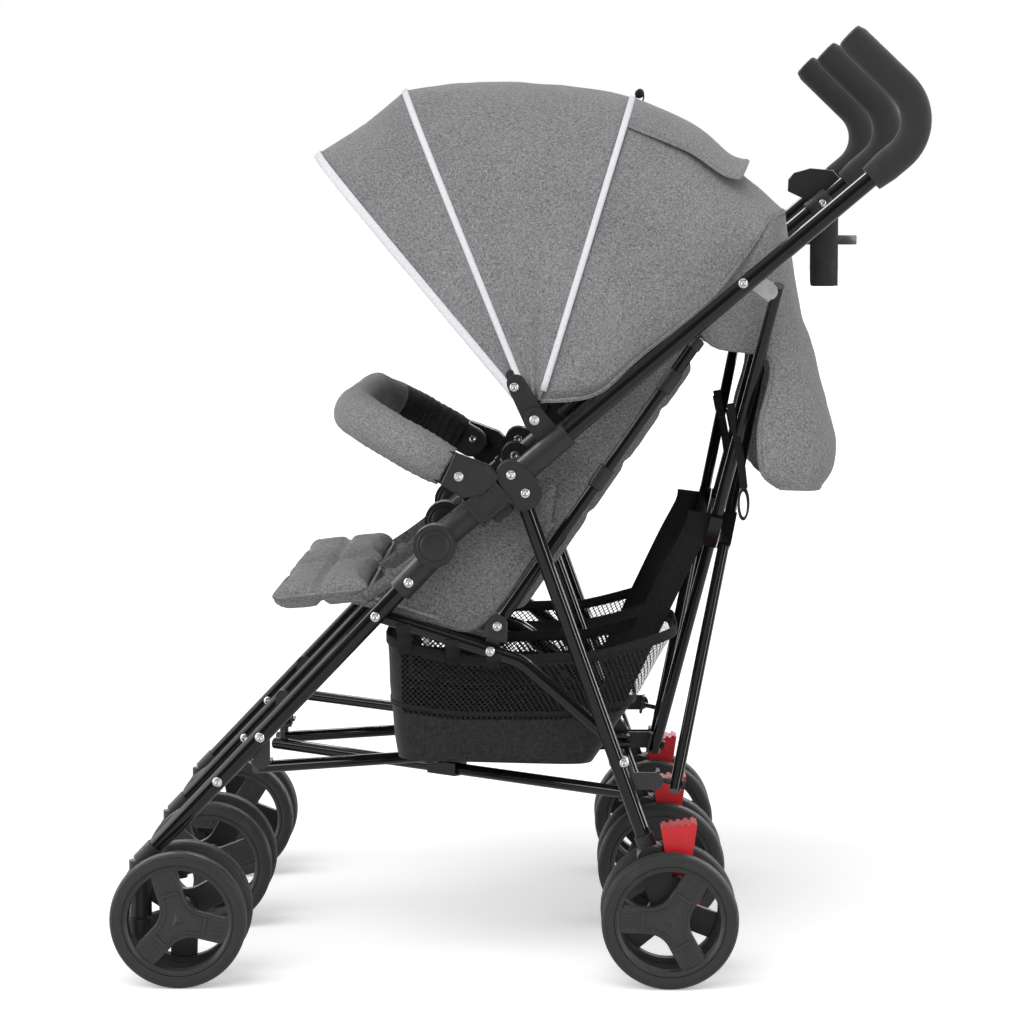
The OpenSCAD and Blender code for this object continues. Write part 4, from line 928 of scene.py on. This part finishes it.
def swellPads(made):
    # Cloth with a little pressure puffs every pad at once; a cap keeps each near its start
    starts = {}
    for piece, pad, _ in made:
        melt = piece.modifiers.new("remesh", "REMESH")
        melt.mode = "VOXEL"
        melt.voxel_size = swelling["voxel"] * mm
        depsgraph = bpy.context.evaluated_depsgraph_get()
        piece.data = bpy.data.meshes.new_from_object(piece.evaluated_get(depsgraph))
        piece.modifiers.clear()
        starts[piece.name] = [v.co.copy() for v in piece.data.vertices]
        cloth = piece.modifiers.new("cloth", "CLOTH")
        cloth.settings.use_pressure = True
        cloth.settings.uniform_pressure_force = swelling["pressure"]
        cloth.settings.effector_weights.gravity = 0.0
        cloth.settings.quality = swelling["quality"]
        cloth.point_cache.frame_start, cloth.point_cache.frame_end = 1, swelling["frames"]
    for step in range(1, swelling["frames"] + 1):
        scene.frame_set(step)
    depsgraph = bpy.context.evaluated_depsgraph_get()
    for piece, pad, _ in made:
        soft = bpy.data.meshes.new_from_object(piece.evaluated_get(depsgraph))
        for vert, start in zip(soft.vertices, starts[piece.name]):
            moved = vert.co - start
            if moved.length > pad["cap"] * mm:
                vert.co = start + moved.normalized() * (pad["cap"] * mm)
        piece.modifiers.clear()
        piece.data = soft
        soft.polygons.foreach_set("use_smooth", [True] * len(soft.polygons))
    scene.frame_set(1)


def sewPad(piece, pad, y0):
    # Sewn lines: channels along the pad and seams across it, pressed into both skins
    start, along, thick = padFrame(pad, y0)
    for vert in piece.data.vertices:
        local = vert.co / mm - start
        u, v, w = local.dot(along) / pad["length"], local.y / (pad["width"] / 2), local.dot(thick)
        inside = min(1, max(0, (1 - abs(v)) * 12)) * min(1, max(0, min(u, 1 - u) * 12))
        rib = abs(math.cos(math.pi * pad["ribs"] * (v + 1) / 2)) ** pad["sharp"]
        seam = abs(math.cos(math.pi * (pad["seams"] + 1) * u)) ** 30 if 0.1 < u < 0.9 else 0
        pull = min(abs(w), pad["depth"] * max(rib, 1.3 * seam) * inside)
        puckers = 0.5 * crumple(vert.co / mm, 9, y0) * inside
        vert.co -= thick * ((1 if w > 0 else -1) * (pull - puckers)) * mm


def buildPads():
    made = []
    for bay, y0 in bays.items():
        for name, pad in pads.items():
            body = pad["body"] if pad["body"] == "middle_frame" else pad["body"] + bay
            piece = addPiece(name + "_pad_" + bay, *padShape(pad, y0), pad["finish"], body, "grey_cloth")
            made.append((piece, pad, y0))
    swellPads(made)
    print("pads swollen:", len(made))
    for piece, pad, y0 in made:
        bay = "left" if y0 < 0 else "right"
        sewPad(piece, pad, y0)
        foldsUp(piece)
        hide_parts(pad["node"] + bay)
        start, along, thick = padFrame(pad, y0)
        rim = []
        for k in range(121):  # corded edge
            reach, v = squared(2 * math.pi * k / 120, 0.22)
            u = 0.5 + 0.5 * reach
            rim.append(start + along * (u * pad["length"]) + Vector((0, v * padHalf(pad, u), 0)))
        cord = addPiece(piece.name + "_edge", *sweep(rim, roundSection(2.0, 8), thick), "greyCloth",
                        piece["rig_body"], "grey_cloth")
        foldsUp(cord)


buildPads()
print("pads sewn")

# backrest tubes, with the clips that hold the sling
backTube = {"pivot": (-23.79, 395.92), "angle": 55.0, "length": 386.0, "radius": 7.0, "across": 135.75,
            "stops": (-6, 0, 60, 180, 300, 386.0), "clips": (0.52, 0.86)}


def backPoint(run, ahead=0.0):
    # run goes up the tube, ahead stands square to it towards the child
    return turned((run, ahead), backTube["angle"], backTube["pivot"])


def buildBackTubes(bay, y0):
    r = backTube["radius"]
    clip = [(r + 0.2, -14), (r + 2.2, -13), (r + 2.2, 13), (r + 0.2, 14)]
    endCap = [(r + 1.2, -9), (r + 1.2, 2), (r * 0.7, 4.5), (0.4, 5)]
    lean = turned((1, 0), backTube["angle"])
    tubes, clips = [], []
    for y in (y0 - backTube["across"], y0 + backTube["across"]):
        line = [(x, y, z) for x, z in map(backPoint, backTube["stops"])]
        tubes.append(sweep(line, roundSection(r, 20), (0, 1, 0)))
        for share, profile in [(share, clip) for share in backTube["clips"]] + [(1, endCap)]:
            x, z = backPoint(backTube["length"] * share)
            clips.append(lathe((x, y, z), (lean[0], 0, lean[1]), profile, 20))
    tube = addPiece("back_tubes_" + bay, *joined(tubes), "framePaint", "backrest_" + bay, "frame_steel")
    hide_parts("backrest_frame_" + bay)
    holder = addPiece("back_clips_" + bay, *joined(clips), "blackPlastic", "backrest_" + bay, "black_plastic")
    for piece in (tube, holder):
        sharpEdges(piece)
        foldsUp(piece)


eachBay(buildBackTubes, "backrest tubes made")

# cloth sides of the seats, from the handle tube down to the strut
sidePanel = {
    # edge below (x, z) and edge above (x, z), from the calf rest back to the backrest's tube
    "below": [(-186.0, 425.0), (-150.0, 416.0), (-120.0, 408.0), (-88.0, 400.0), (-64.0, 393.0),
              (-46.0, 397.0), (-22.0, 424.0), (6.0, 466.0), (36.0, 512.0)],
    "above": [(-176.0, 433.0), (-148.0, 452.0), (-124.0, 470.0), (-98.0, 490.0), (-70.0, 512.0),
              (-42.0, 530.0), (-16.0, 542.0), (12.0, 550.0), (42.0, 556.0)],
    "across": 145.2, "belly": 2.4, "crease": 3.2, "band": 13.0, "rows": 17, "cloth": 1.8,
    # folds beside the backrest's tube: height, place and width
    "folds": ((3.6, 21, 6), (-3.0, 35, 8)), "tubeLean": (0.819, 0.574)}


def sideGive(x, z, s, y0):
    # How far the cloth stands in from its plane
    px, pz = backTube["pivot"]
    behind = (x - px) * sidePanel["tubeLean"][0] - (z - pz) * sidePanel["tubeLean"][1]
    fold = sum(high * math.exp(-((behind + place) / wide) ** 2) for high, place, wide in sidePanel["folds"])
    crumpled = crumple((x, s * 40, z), 38, y0) + 0.6 * crumple((x, s * 40, z * 0.6), 15, y0)
    return sidePanel["belly"] + fold + sidePanel["crease"] * crumpled


def buildSidePanels(bay, y0):
    low, high = spline(sidePanel["below"], 5), spline(sidePanel["above"], 5)
    rows, cols, across = sidePanel["rows"], len(low), sidePanel["across"]
    for s, name in ((-1, "a"), (1, "b")):
        verts = []
        for share in [i / (rows - 1) for i in range(rows)]:
            for j in range(cols):
                x, z = [mix(a, b, share) for a, b in zip(low[j], high[j])]
                full = math.sin(math.pi * share) * math.sin(math.pi * j / (cols - 1))
                verts.append((x, y0 + s * (across - full * sideGive(x, z, s, y0)), z))
        side = bay if s == outward[bay] else "middle"
        # the darkened seat cloth paints the shade that falls on the sides below the handle tube
        piece = addPiece("seat_side_" + name + "_" + bay, verts, gridFaces(rows, cols), "seatCloth",
                         frameBody[side], "grey_cloth")
        sheetThickness(piece, sidePanel["cloth"])
        # the hem below, and the band up the front edge to the knuckle
        lower = [(x, y0 + s * across, z) for x, z in low]
        band = [(x + 5, y0 + s * (across + 1.4), z - 6) for x, z in high[:19]]
        parts = [sweep(lower, strapSection(9.0, 3.2), (0, 0, 1)),
                 sweep(band, strapSection(sidePanel["band"], 2.6), (-0.7, 0, 1))]
        trim = addPiece("seat_hem_" + name + "_" + bay, *joined(parts), "seatCloth", frameBody[side], "grey_cloth")


eachBay(buildSidePanels, "seat sides made")

# cloth wings from the backrest's tubes forward, inside the seat's sides
wing = {"from": 15.0, "to": 372.0, "low": 84.0, "high": 130.0, "tubeGap": 118.9, "tubeSlope": 0.2657,
        "across": 138.4, "lean": 24.0, "belly": 1.6, "ripple": 1.6, "cloth": 2.2, "rows": 15, "columns": 41}


def buildWings(bay, y0):
    rows, cols = wing["rows"], wing["columns"]
    for s, name in ((-1, "a"), (1, "b")):
        verts = []
        for share in [i / (rows - 1) for i in range(rows)]:
            full = math.sin(math.pi * share) ** 0.7
            for run in [j / (cols - 1) for j in range(cols)]:
                d = mix(wing["from"], wing["to"], run)
                reach = mix(wing["low"], wing["high"], min(1, run / 0.35) ** 0.7)
                h = share * min(reach, wing["tubeGap"] - wing["tubeSlope"] * d)  # up to the handle tube
                x, z = backPoint(d, h)
                ripple = math.sin(h / 8.5 + 2.2 * crumple((x, 0, z), 90, y0)) + crumple((x, s * 30, z), 42, y0)
                give = full * (wing["ripple"] * ripple - wing["belly"]) - wing["lean"] * share
                verts.append((x, y0 + s * (wing["across"] + give), z))
        # the darkened seat cloth paints the shade that falls on the wings inside the seat
        piece = addPiece("back_wing_" + name + "_" + bay, verts, gridFaces(rows, cols), "seatCloth",
                         "backrest_" + bay, "grey_cloth")
        sheetThickness(piece, wing["cloth"])
        foldsUp(piece)
        binding = sweep(freeEdge(verts, rows, cols), strapSection(3.4, 6.0), (0, 1, 0))
        trim = addPiece("back_binding_" + name + "_" + bay, *binding, "seatCloth", "backrest_" + bay, "grey_cloth")
        foldsUp(trim)


eachBay(buildWings, "backrest wings made")

# baskets
basket = {"low": (-138.4, 240.0, 84.2, 235.0), "high": (-150.7, 374.4, 178.2, 384.7),  # front and back (x, z)
          "dip": 30.0, "half": 117.0, "girth": 138.0, "square": 0.28, "rows": 18, "columns": 96, "floorRings": 12,
          "solid": 0.42, "hem": 0.95, "strapWidth": 16.0, "straps": (-128.0, -74.0, -28.0),
          "strutStart": (-158.2, 409.0), "strutSlope": 0.325,
          "band": ((88.0, 262.0), (118.0, 318.0), (150.0, 385.0), (182.0, 452.0), (204.0, 494.0), (208.0, 512.0))}


def basketEdge(edge, level):
    # Height of the lower or upper edge at a share of its length; the upper one sags
    sag = basket["dip"] * math.sin(math.pi * level) if edge == "high" else 0.0
    return mix(basket[edge][1], basket[edge][3], level) - sag


def basketWall(y0):
    rows, cols = basket["rows"], basket["columns"]
    turns = [2 * math.pi * (j + 0.5) / cols for j in range(cols + 1)]
    corners = [squared(t, basket["square"]) for t in turns]
    # the way round at half height, so that the net's columns stay upright
    around = [(basket["girth"] * nx, basket["half"] * ny) for nx, ny in corners]
    runs = [0.0]
    for a, b in zip(around, around[1:]):
        runs.append(runs[-1] + math.dist(a, b))
    verts, uv, shares = [], [], []
    for share in [i / (rows - 1) for i in range(rows)]:
        x0, x1 = [mix(basket["low"][k], basket["high"][k], share) for k in (0, 2)]
        loose = math.sin(math.pi * min(1, share * 1.15)) * (1 - 0.4 * share)
        for t, (nx, ny), run in zip(turns[:cols], corners, runs):
            x, y = (x0 + x1) / 2 + (x1 - x0) / 2 * nx, basket["half"] * ny
            level = (x - x0) / (x1 - x0)
            z = mix(basketEdge("low", level), basketEdge("high", level), share)
            puff = loose * (4.0 + 4.5 * crumple((x, y, z), 45, y0))
            c, s = math.cos(t), math.sin(t)
            verts.append((x + puff * c * 0.8, y + puff * s * 0.2 - 1.5 * loose * s + y0, z))
            uv.append((run * mm, z * mm))
            shares.append((share, nx))
    return verts, uv, shares


def buildBasket(bay, y0):
    rows, cols = basket["rows"], basket["columns"]
    verts, uv, shares = basketWall(y0)
    faces = gridFaces(rows, cols, closed=True)
    pick = []  # cloth below, in front and along the top, net between
    for face in faces:
        share, front = [sum(shares[v][k] for v in face) / 4 for k in (0, 1)]
        pick.append(0 if front < -0.9 or share < basket["solid"] or share > basket["hem"] else 1)
    # the floor closes the lowest ring, a little uneven
    x0, _, x1, _ = basket["low"]
    rims = [list(range(cols))]
    for i in range(1, basket["floorRings"]):
        shrink = 1 - i / basket["floorRings"]
        rims.append(list(range(len(verts), len(verts) + cols)))
        for x, y, _ in verts[:cols]:
            floorX = mix((x0 + x1) / 2, x, shrink)
            floorZ = basketEdge("low", (floorX - x0) / (x1 - x0)) + 1.6 + 1.4 * crumple((floorX, y, 0), 40, y0)
            verts.append((floorX, mix(y0, y, shrink), floorZ))
            uv.append((floorX * mm, y * mm))
    for a, b in zip(rims, rims[1:]):
        faces += [(a[j], b[j], b[(j + 1) % cols], a[(j + 1) % cols]) for j in range(cols)]
    faces.append(tuple(rims[-1]))
    pick += [0] * (len(faces) - len(pick))
    piece = addPiece("basket_" + bay, verts, faces, ["blackCloth", "blackNet"], "middle_frame", "black_cloth", pick, uv)
    foldsUp(piece)
    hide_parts("baskets")
    parts = []
    for row, width, thick in ((rows - 1, 12.0, 3.0), (int(basket["solid"] * (rows - 1)) + 1, 6.0, 2.6)):
        line = verts[row * cols:(row + 1) * cols]
        parts.append(sweep(line + line[:1], strapSection(width, thick), (0, 0, 1)))
    # webbing loops up to the seat struts, and the wide band to the middle of the crossed bars
    frontX, _, backX, _ = basket["high"]
    for s in (-1, 1):
        for x in basket["straps"]:
            top = basket["strutStart"][1] - (x - basket["strutStart"][0]) * basket["strutSlope"]
            edge = basketEdge("high", (x - frontX) / (backX - frontX))
            path = [(116.0, edge - 8), (120.0, edge), (138.0, top - 18), (147.0, top - 10), (154.6, top - 9.4),
                    (162.0, top - 7), (164.2, top)]
            loop = spline([(x, y0 + s * across, z) for across, z in path], 4)
            parts.append(sweep(loop, strapSection(basket["strapWidth"], 1.8), (1, 0, 0)))
    band = spline([(x, y0, z) for x, z in basket["band"]], 5)
    parts.append(sweep(band, strapSection(30.0, 2.4), (1, 0, -0.5)))
    trim = addPiece("basket_straps_" + bay, *joined(parts), "webbing", "middle_frame", "black_cloth")
    foldsUp(trim)


eachBay(buildBasket, "baskets made")

# rivets and caps of the side frames: (x, z) and the distance from the frame's plane
frameStuds = {"all": [(-158.3, 409.0, 9.4), (-121.0, 447.5, 13.4), (-286.5, 274.5, 9.4), (-334.0, 224.5, 9.4),
                      (7.5, 546.7, 15.6), (-8.3, 566.7, 15.6), (117.0, 247.0, 8.4), (246.0, 777.0, 9.4)],
              "outer": [(17.6, 627.0, 16.5), (150.0, 150.0, 10.6)]}  # not on the outer frames' inner faces
plates = {"face": 7.2, "back": 10.4, "rivets": [(-23.8, 397.0), (-31.6, 369.0)],
          "strut": [(-42.0, 387.0), (-13.0, 377.5), (-12.5, 401.0), (-17.0, 408.0), (-24.0, 411.0), (-31.0, 408.5)],
          "bumper": [(-85.5, 556.0), (-70.0, 590.5), (-33.0, 577.0), (-20.5, 565.0), (-38.0, 545.0), (-61.0, 541.0)],
          "bumperFace": 18.6, "bumperBack": 14.0, "bumperRivet": (-65.6, 565.1),
          "earUp": (-8.3, 566.7), "earLow": (7.5, 546.7), "earRadii": (16.5, 19.0)}
knuckleCap = {"centre": (-92.39, 488.0), "face": 16.0, "radius": 18.5}


def capProfile(r):
    return [(r + 1.5, -1), (r + 1.5, 0.5), (r + 0.6, 1.2), (r - 0.8, 1.2), (r - 1.4, 0.6), (r - 2.2, 0.6),
            (r - 3.2, 1.5), (r * 0.5, 2.0), (0.4, 2.1)]


def buildFrameStuds():
    x0, z0 = knuckleCap["centre"]
    for side, y in sides.items():
        studs, caps = [], []
        for s in (-1, 1):
            shown = frameStuds["all"] + ([] if outward.get(side) == -s else frameStuds["outer"])
            studs += [rivet(x, z, y + s * out, s) for x, z, out in shown]
            centre = (x0, y + s * knuckleCap["face"], z0)
            caps.append(lathe(centre, (0, s, 0), capProfile(knuckleCap["radius"]), 40))
        # rivets on the struts' plates, and on the outer frames' bumper brackets
        for s in seatFaces[side]:
            studs += [rivet(x, z, y + s * plates["face"], -s) for x, z in plates["rivets"]]
        if side in outward:
            out = outward[side]
            studs.append(rivet(*plates["bumperRivet"], y + out * plates["bumperFace"], out))
        addPiece("frame_rivets_" + side, *joined(studs), "brightSteel", frameBody[side], "bright_steel")
        cap = addPiece("knuckle_caps_" + side, *joined(caps), "blackPlastic", frameBody[side], "black_plastic")
        sharpEdges(cap)


buildFrameStuds()
print("rivets and caps made")

# moulded folding locks on the handle tubes, just above the knuckles
lock = {"centre": (-34.0, 537.0), "long": 19.0, "tall": 17.0, "face": 17.2, "angle": 40.125}


def turnedBox(centre, angle, long, tall, ease=2.5):
    # A box with its corners cut, as (x, z)
    corners = []
    for u, v in ((1, 1), (-1, 1), (-1, -1), (1, -1)):
        for cut in ((ease, 0), (0, ease)) if u * v < 0 else ((0, ease), (ease, 0)):
            corners.append(turned((u * (long - cut[0]), v * (tall - cut[1])), angle, centre))
    return corners


def lockBox(place, long, tall, ease=2.5):
    centre = turned(place, lock["angle"], lock["centre"])
    return turnedBox(centre, lock["angle"], long, tall, ease)


def buildLocks():
    ear = hullOutline(plates["earUp"], plates["earRadii"][0], plates["earLow"], plates["earRadii"][1], 20)
    for side, y in sides.items():
        parts = [slab(lockBox((0, 0), lock["long"], lock["tall"]), y - lock["face"], y + lock["face"], 1.6)]
        parts.append(slab(lockBox((5, -21), 13, 5), y - 9, y + 9, 1.4))
        parts.append(slab(lockBox((14, -17), 4, 7), y - 11, y + 11, 1.4))
        for s in seatFaces[side]:
            parts.append(slab(plates["strut"], y + s * plates["face"], y + s * plates["back"], 0.6))
        if side in outward:
            out = outward[side]
            parts.append(slab(plates["bumper"], y + out * plates["bumperFace"], y - out * plates["bumperBack"], 1.2))
        for s in (-1, 1):
            parts.append(slab(ear, y + s * 10, y + s * 15.6, 1.2))
            for grow, low, high in ((1.0, 0.0, 1.1), (0.72, 1.1, 1.9)):
                box = lockBox((-1, -1), 12 * grow, 10.5 * grow, 1.5)
                parts.append(slab(box, y + s * (lock["face"] + low - 0.3), y + s * (lock["face"] + high), 0.5))
            for u in (-19.5, 19.5):
                parts.append(slab(lockBox((u, 0), 2.2, 18.5, 0.8), y + s * 2, y + s * (lock["face"] + 1.2), 0.6))
        piece = addPiece("handle_lock_" + side, *joined(parts), "blackPlastic", frameBody[side], "black_plastic")
        sharpEdges(piece)


buildLocks()
print("locks made")

# cup holder: a band on a curved upright, with its cradle below and a clamp round the middle handle
cup = {"centre": (362.61, 56.5, 824.0), "radius": 38.0, "wall": 3.4, "band": 5.6, "spread": 23.0, "strap": 24.0,
       "levels": (769.0, 770.5, 790, 810, 840, 870, 903.5, 905.0),
       "tab": [(318.0, 882.0), (318.5, 896.0), (325.0, 904.0), (345.0, 909.5), (372.0, 907.0), (384.0, 893.0),
               (378.0, 872.0), (352.0, 866.0)], "tabFaces": (14.0, 17.2),
       "sleeve": [(9.8, -15), (12.6, -15), (13.4, -14), (13.4, 14), (12.6, 15), (9.8, 15)], "sleeveBack": 7.0}


def buildCup():
    x, y, z = cup["centre"]
    r, b = cup["radius"], cup["band"]
    far = r + cup["wall"]
    half = [(r, b - 1), (r + 0.8, b), (far - 0.8, b), (far, b - 1)]
    hoop = [(out, -up) for out, up in half] + half[::-1]
    parts = [ring((x, y, z), (0, 0, 1), hoop, 64)]
    arc = [math.radians(cup["spread"] * (k / 6 - 1)) for k in range(13)]
    section = [(far * math.sin(t), -far * math.cos(t)) for t in arc]
    section += [((r + 0.6) * math.sin(t), -(r + 0.6) * math.cos(t)) for t in reversed(arc)]
    parts.append(sweep([(x, y, level) for level in cup["levels"]], section, (1, 0, 0)))
    cradle = [(-r - 2, 800), (-r - 1, 780), (-r + 4, 771), (-20, 769.6), (20, 769.6), (r - 4, 771), (r + 1, 780),
              (r + 2, 800), (r + 2, 828)]
    line = spline([(x, y + across, level) for across, level in cradle], 4)
    parts.append(sweep(line, strapSection(cup["strap"], 2.6), (1, 0, 0)))
    for k in range(5):  # feet under the cradle
        parts.append(lathe((x - 10 + 5 * k, y - r + 3, 770.5), (0, 0, -1), [(1.8, -1), (1.8, 1.2), (1.2, 2.0)], 10))
    parts.append(slab(cup["tab"], *cup["tabFaces"], 1.0))
    a = math.radians(grip["handleAngle"])
    sleeveX = x - cup["sleeveBack"]
    sleeveZ = knuckleCap["centre"][1] + (sleeveX - knuckleCap["centre"][0]) * math.tan(a)
    parts.append(ring((sleeveX, 0.0, sleeveZ), (math.cos(a), 0, math.sin(a)), cup["sleeve"], 32))
    piece = addPiece("cup_cradle", *joined(parts), "blackPlastic", "middle_frame", "black_plastic")
    sharpEdges(piece, 45)
    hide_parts("cup_holder")
    stud = rivet(sleeveX + 2, sleeveZ + 2, -13.0, -1, 4.6)
    addPiece("cup_rivet", *stud, "brightSteel", "middle_frame", "bright_steel")


buildCup()
print("cup holder made")

# wheels: grooved tyres on rims with three fluted spokes
wheel = {"places": {"front": (-375.39, 76.0), "rear": (167.61, 76.0)}, "apart": 38.0,
         "spokeTurn": {"front": -13.0, "rear": 58.0}, "sideTurn": {"left": 0.0, "middle": 34.0, "right": 71.0},
         "innerTurn": 41.0, "spokeHalf": 14.8, "fillet": 27.0, "spokeEnd": 57.0, "webLow": -4.0, "webHigh": 7.0,
         "stars": ((10.0, 31.5, 32.0), (7.6, 34.0, 28.0)), "flutes": (-7.5, -2.5, 2.5, 7.5), "fluteRun": (34.5, 51.5),
         # half of the tyre's section, the rim's section and the boss, as (radius, distance out)
         "tyre": [(62.0, 11.4), (62.8, 12.0), (66.5, 12.0), (70.6, 11.9), (71.2, 11.3), (71.8, 11.6), (73.6, 10.2),
                  (75.0, 8.2), (75.8, 5.6), (76.0, 1.5), (75.2, 0.9)],
         "rim": [(61.8, -10.6), (61.8, 10.0), (61.2, 11.0), (59.9, 11.0), (59.3, 10.0), (58.4, 9.4), (57.2, 8.9),
                 (56.2, 8.2), (55.8, 6.9), (55.8, -8.0), (57.2, -9.5), (59.5, -10.6)],
         "boss": [(11.0, -11.2), (13.0, -10.6), (13.0, -3.5)]}


def cutPlate(outlines, low, high, bevel):
    # Outlines filled as a plate with its holes, thickened and eased, by way of a flat curve
    curve = bpy.data.curves.new("cut", "CURVE")
    curve.dimensions = "2D"
    curve.fill_mode = "BOTH"
    curve.extrude = (high - low) / 2 - bevel
    curve.bevel_depth = bevel
    curve.bevel_resolution = 2
    curve.offset = -bevel
    for outline in outlines:
        line = curve.splines.new("POLY")
        line.points.add(len(outline) - 1)
        for point, (a, b) in zip(line.points, outline):
            point.co = (a, b, 0, 1)
        line.use_cyclic_u = True
    holder = bpy.data.objects.new("cut", curve)
    scene.collection.objects.link(holder)
    mesh = bpy.data.meshes.new_from_object(holder.evaluated_get(bpy.context.evaluated_depsgraph_get()))
    verts = [(v.co.x, v.co.y, v.co.z + (low + high) / 2) for v in mesh.vertices]
    faces = [tuple(p.vertices) for p in mesh.polygons]
    bpy.data.objects.remove(holder)
    bpy.data.curves.remove(curve)
    bpy.data.meshes.remove(mesh)
    return verts, faces


def spokeGap(half, fillet, end, turn):
    # The round-bottomed edge between two spokes, from spoke to spoke
    sine = math.sin(math.radians(60))
    middle = half / sine + fillet / sine
    points = [(0.5 * end + half * sine, -(sine * end - half * 0.5))]
    points += [turned((fillet, 0), 210 - 6 * k, (middle, 0)) for k in range(11)]
    points.append((0.5 * end + half * sine, sine * end - half * 0.5))
    return [turned(p, turn) for p in points]


def wheelWeb():
    gaps = ((wheel["spokeHalf"], wheel["fillet"], wheel["spokeEnd"]), *wheel["stars"])
    spokes, outer, inner = [[p for k in range(3) for p in spokeGap(*gap, 60 + 120 * k)] for gap in gaps]
    low, high = wheel["webLow"], wheel["webHigh"]
    parts = [cutPlate([spokes], low, high, 1.4), cutPlate([outer, inner[::-1]], high - 1.5, high + 1.8, 0.6)]
    start, stop = wheel["fluteRun"]
    for k in range(3):
        for off in wheel["flutes"]:
            bar = [(start, off - 0.8), (stop, off - 0.8), (stop, off + 0.8), (start, off + 0.8)]
            parts.append(cutPlate([[turned(p, 120 * k) for p in bar]], high - 1.0, high + 0.7, 0.35))
    peak = [(*turned((r, 0), 120 * k), h) for r, h in ((11, high - 0.5), (2.5, high + 2.2)) for k in range(3)]
    parts.append((peak, gridFaces(2, 3, closed=True) + [(3, 4, 5), (2, 1, 0)]))
    return joined(parts)


def buildWheels():
    webVerts, webFaces = wheelWeb()
    profile = wheel["tyre"] + [(r, -h) for r, h in reversed(wheel["tyre"])]
    for end, (x, z) in wheel["places"].items():
        for side, y in sides.items():
            tyres, hubs = [], []
            for s in (-1, 1):
                centre = (x, y + s * wheel["apart"], z)
                turn = wheel["spokeTurn"][end] + wheel["sideTurn"][side] + (wheel["innerTurn"] if s > 0 else 0)
                tyres.append(ring(centre, (0, s, 0), profile, 96))
                hubs.append(ring(centre, (0, s, 0), wheel["rim"], 96))
                hubs.append(lathe(centre, (0, s, 0), wheel["boss"], 32))
                spots = [(turned((u, v), turn, (x, z)), w) for u, v, w in webVerts]
                hubs.append(([(p[0], centre[1] + s * w, p[1]) for p, w in spots], webFaces))
            body = f"{end}_wheels_{side}"
            tyre = addPiece(f"{end}_wheel_tyres_{side}", *joined(tyres), "tyreRubber", body, "tyre")
            hub = addPiece(f"{end}_wheel_rims_{side}", *joined(hubs), "hubPlastic", body, "hub_plastic")
            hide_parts(f"{end}_tyres_{side}")
            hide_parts(f"{end}_hubs_{side}")
            sharpEdges(tyre, 50)
            sharpEdges(hub, 32)


buildWheels()
print("wheels made")

# recline strap tails that hang behind the backrests
tail = {"tops": ((-66.0, 640.0), (60.0, 628.0)), "width": 9.0, "thick": 1.6, "loop": (5.5, 17.0),
        # x, its shift for the second tail, the way across and the drop
        "path": ((238.0, 5, 0, 0), (242.0, 5, 0, 20), (247.0, 6, 1, 45), (251.0, 6, 2, 70), (254.0, 6, 2, 96))}


def buildTails(bay, y0):
    wide, tall = tail["loop"]
    for k, (across, top) in enumerate(tail["tops"]):
        line = spline([(x + shift * k, y0 + across + aside, top - drop) for x, shift, aside, drop in tail["path"]], 6)
        end = Vector(line[-1])
        strap = sweep(line, strapSection(tail["width"], tail["thick"]), (1, 0, 0))
        piece = addPiece(f"strap_tail_{k}_{bay}", *strap, "webbing", "middle_frame", "black_cloth")
        foldsUp(piece)
        bend = [2 * math.pi * n / 28 for n in range(29)]
        hoop = [end + Vector((wide * math.sin(t), 0, -tall + tall * math.cos(t))) for t in bend]
        loop = addPiece(f"strap_loop_{k}_{bay}", *sweep(hoop, strapSection(3.0, 2.4), (0, 1, 0)), "blackPlastic",
                        "middle_frame", "black_plastic")
        foldsUp(loop)


eachBay(buildTails, "strap tails made")
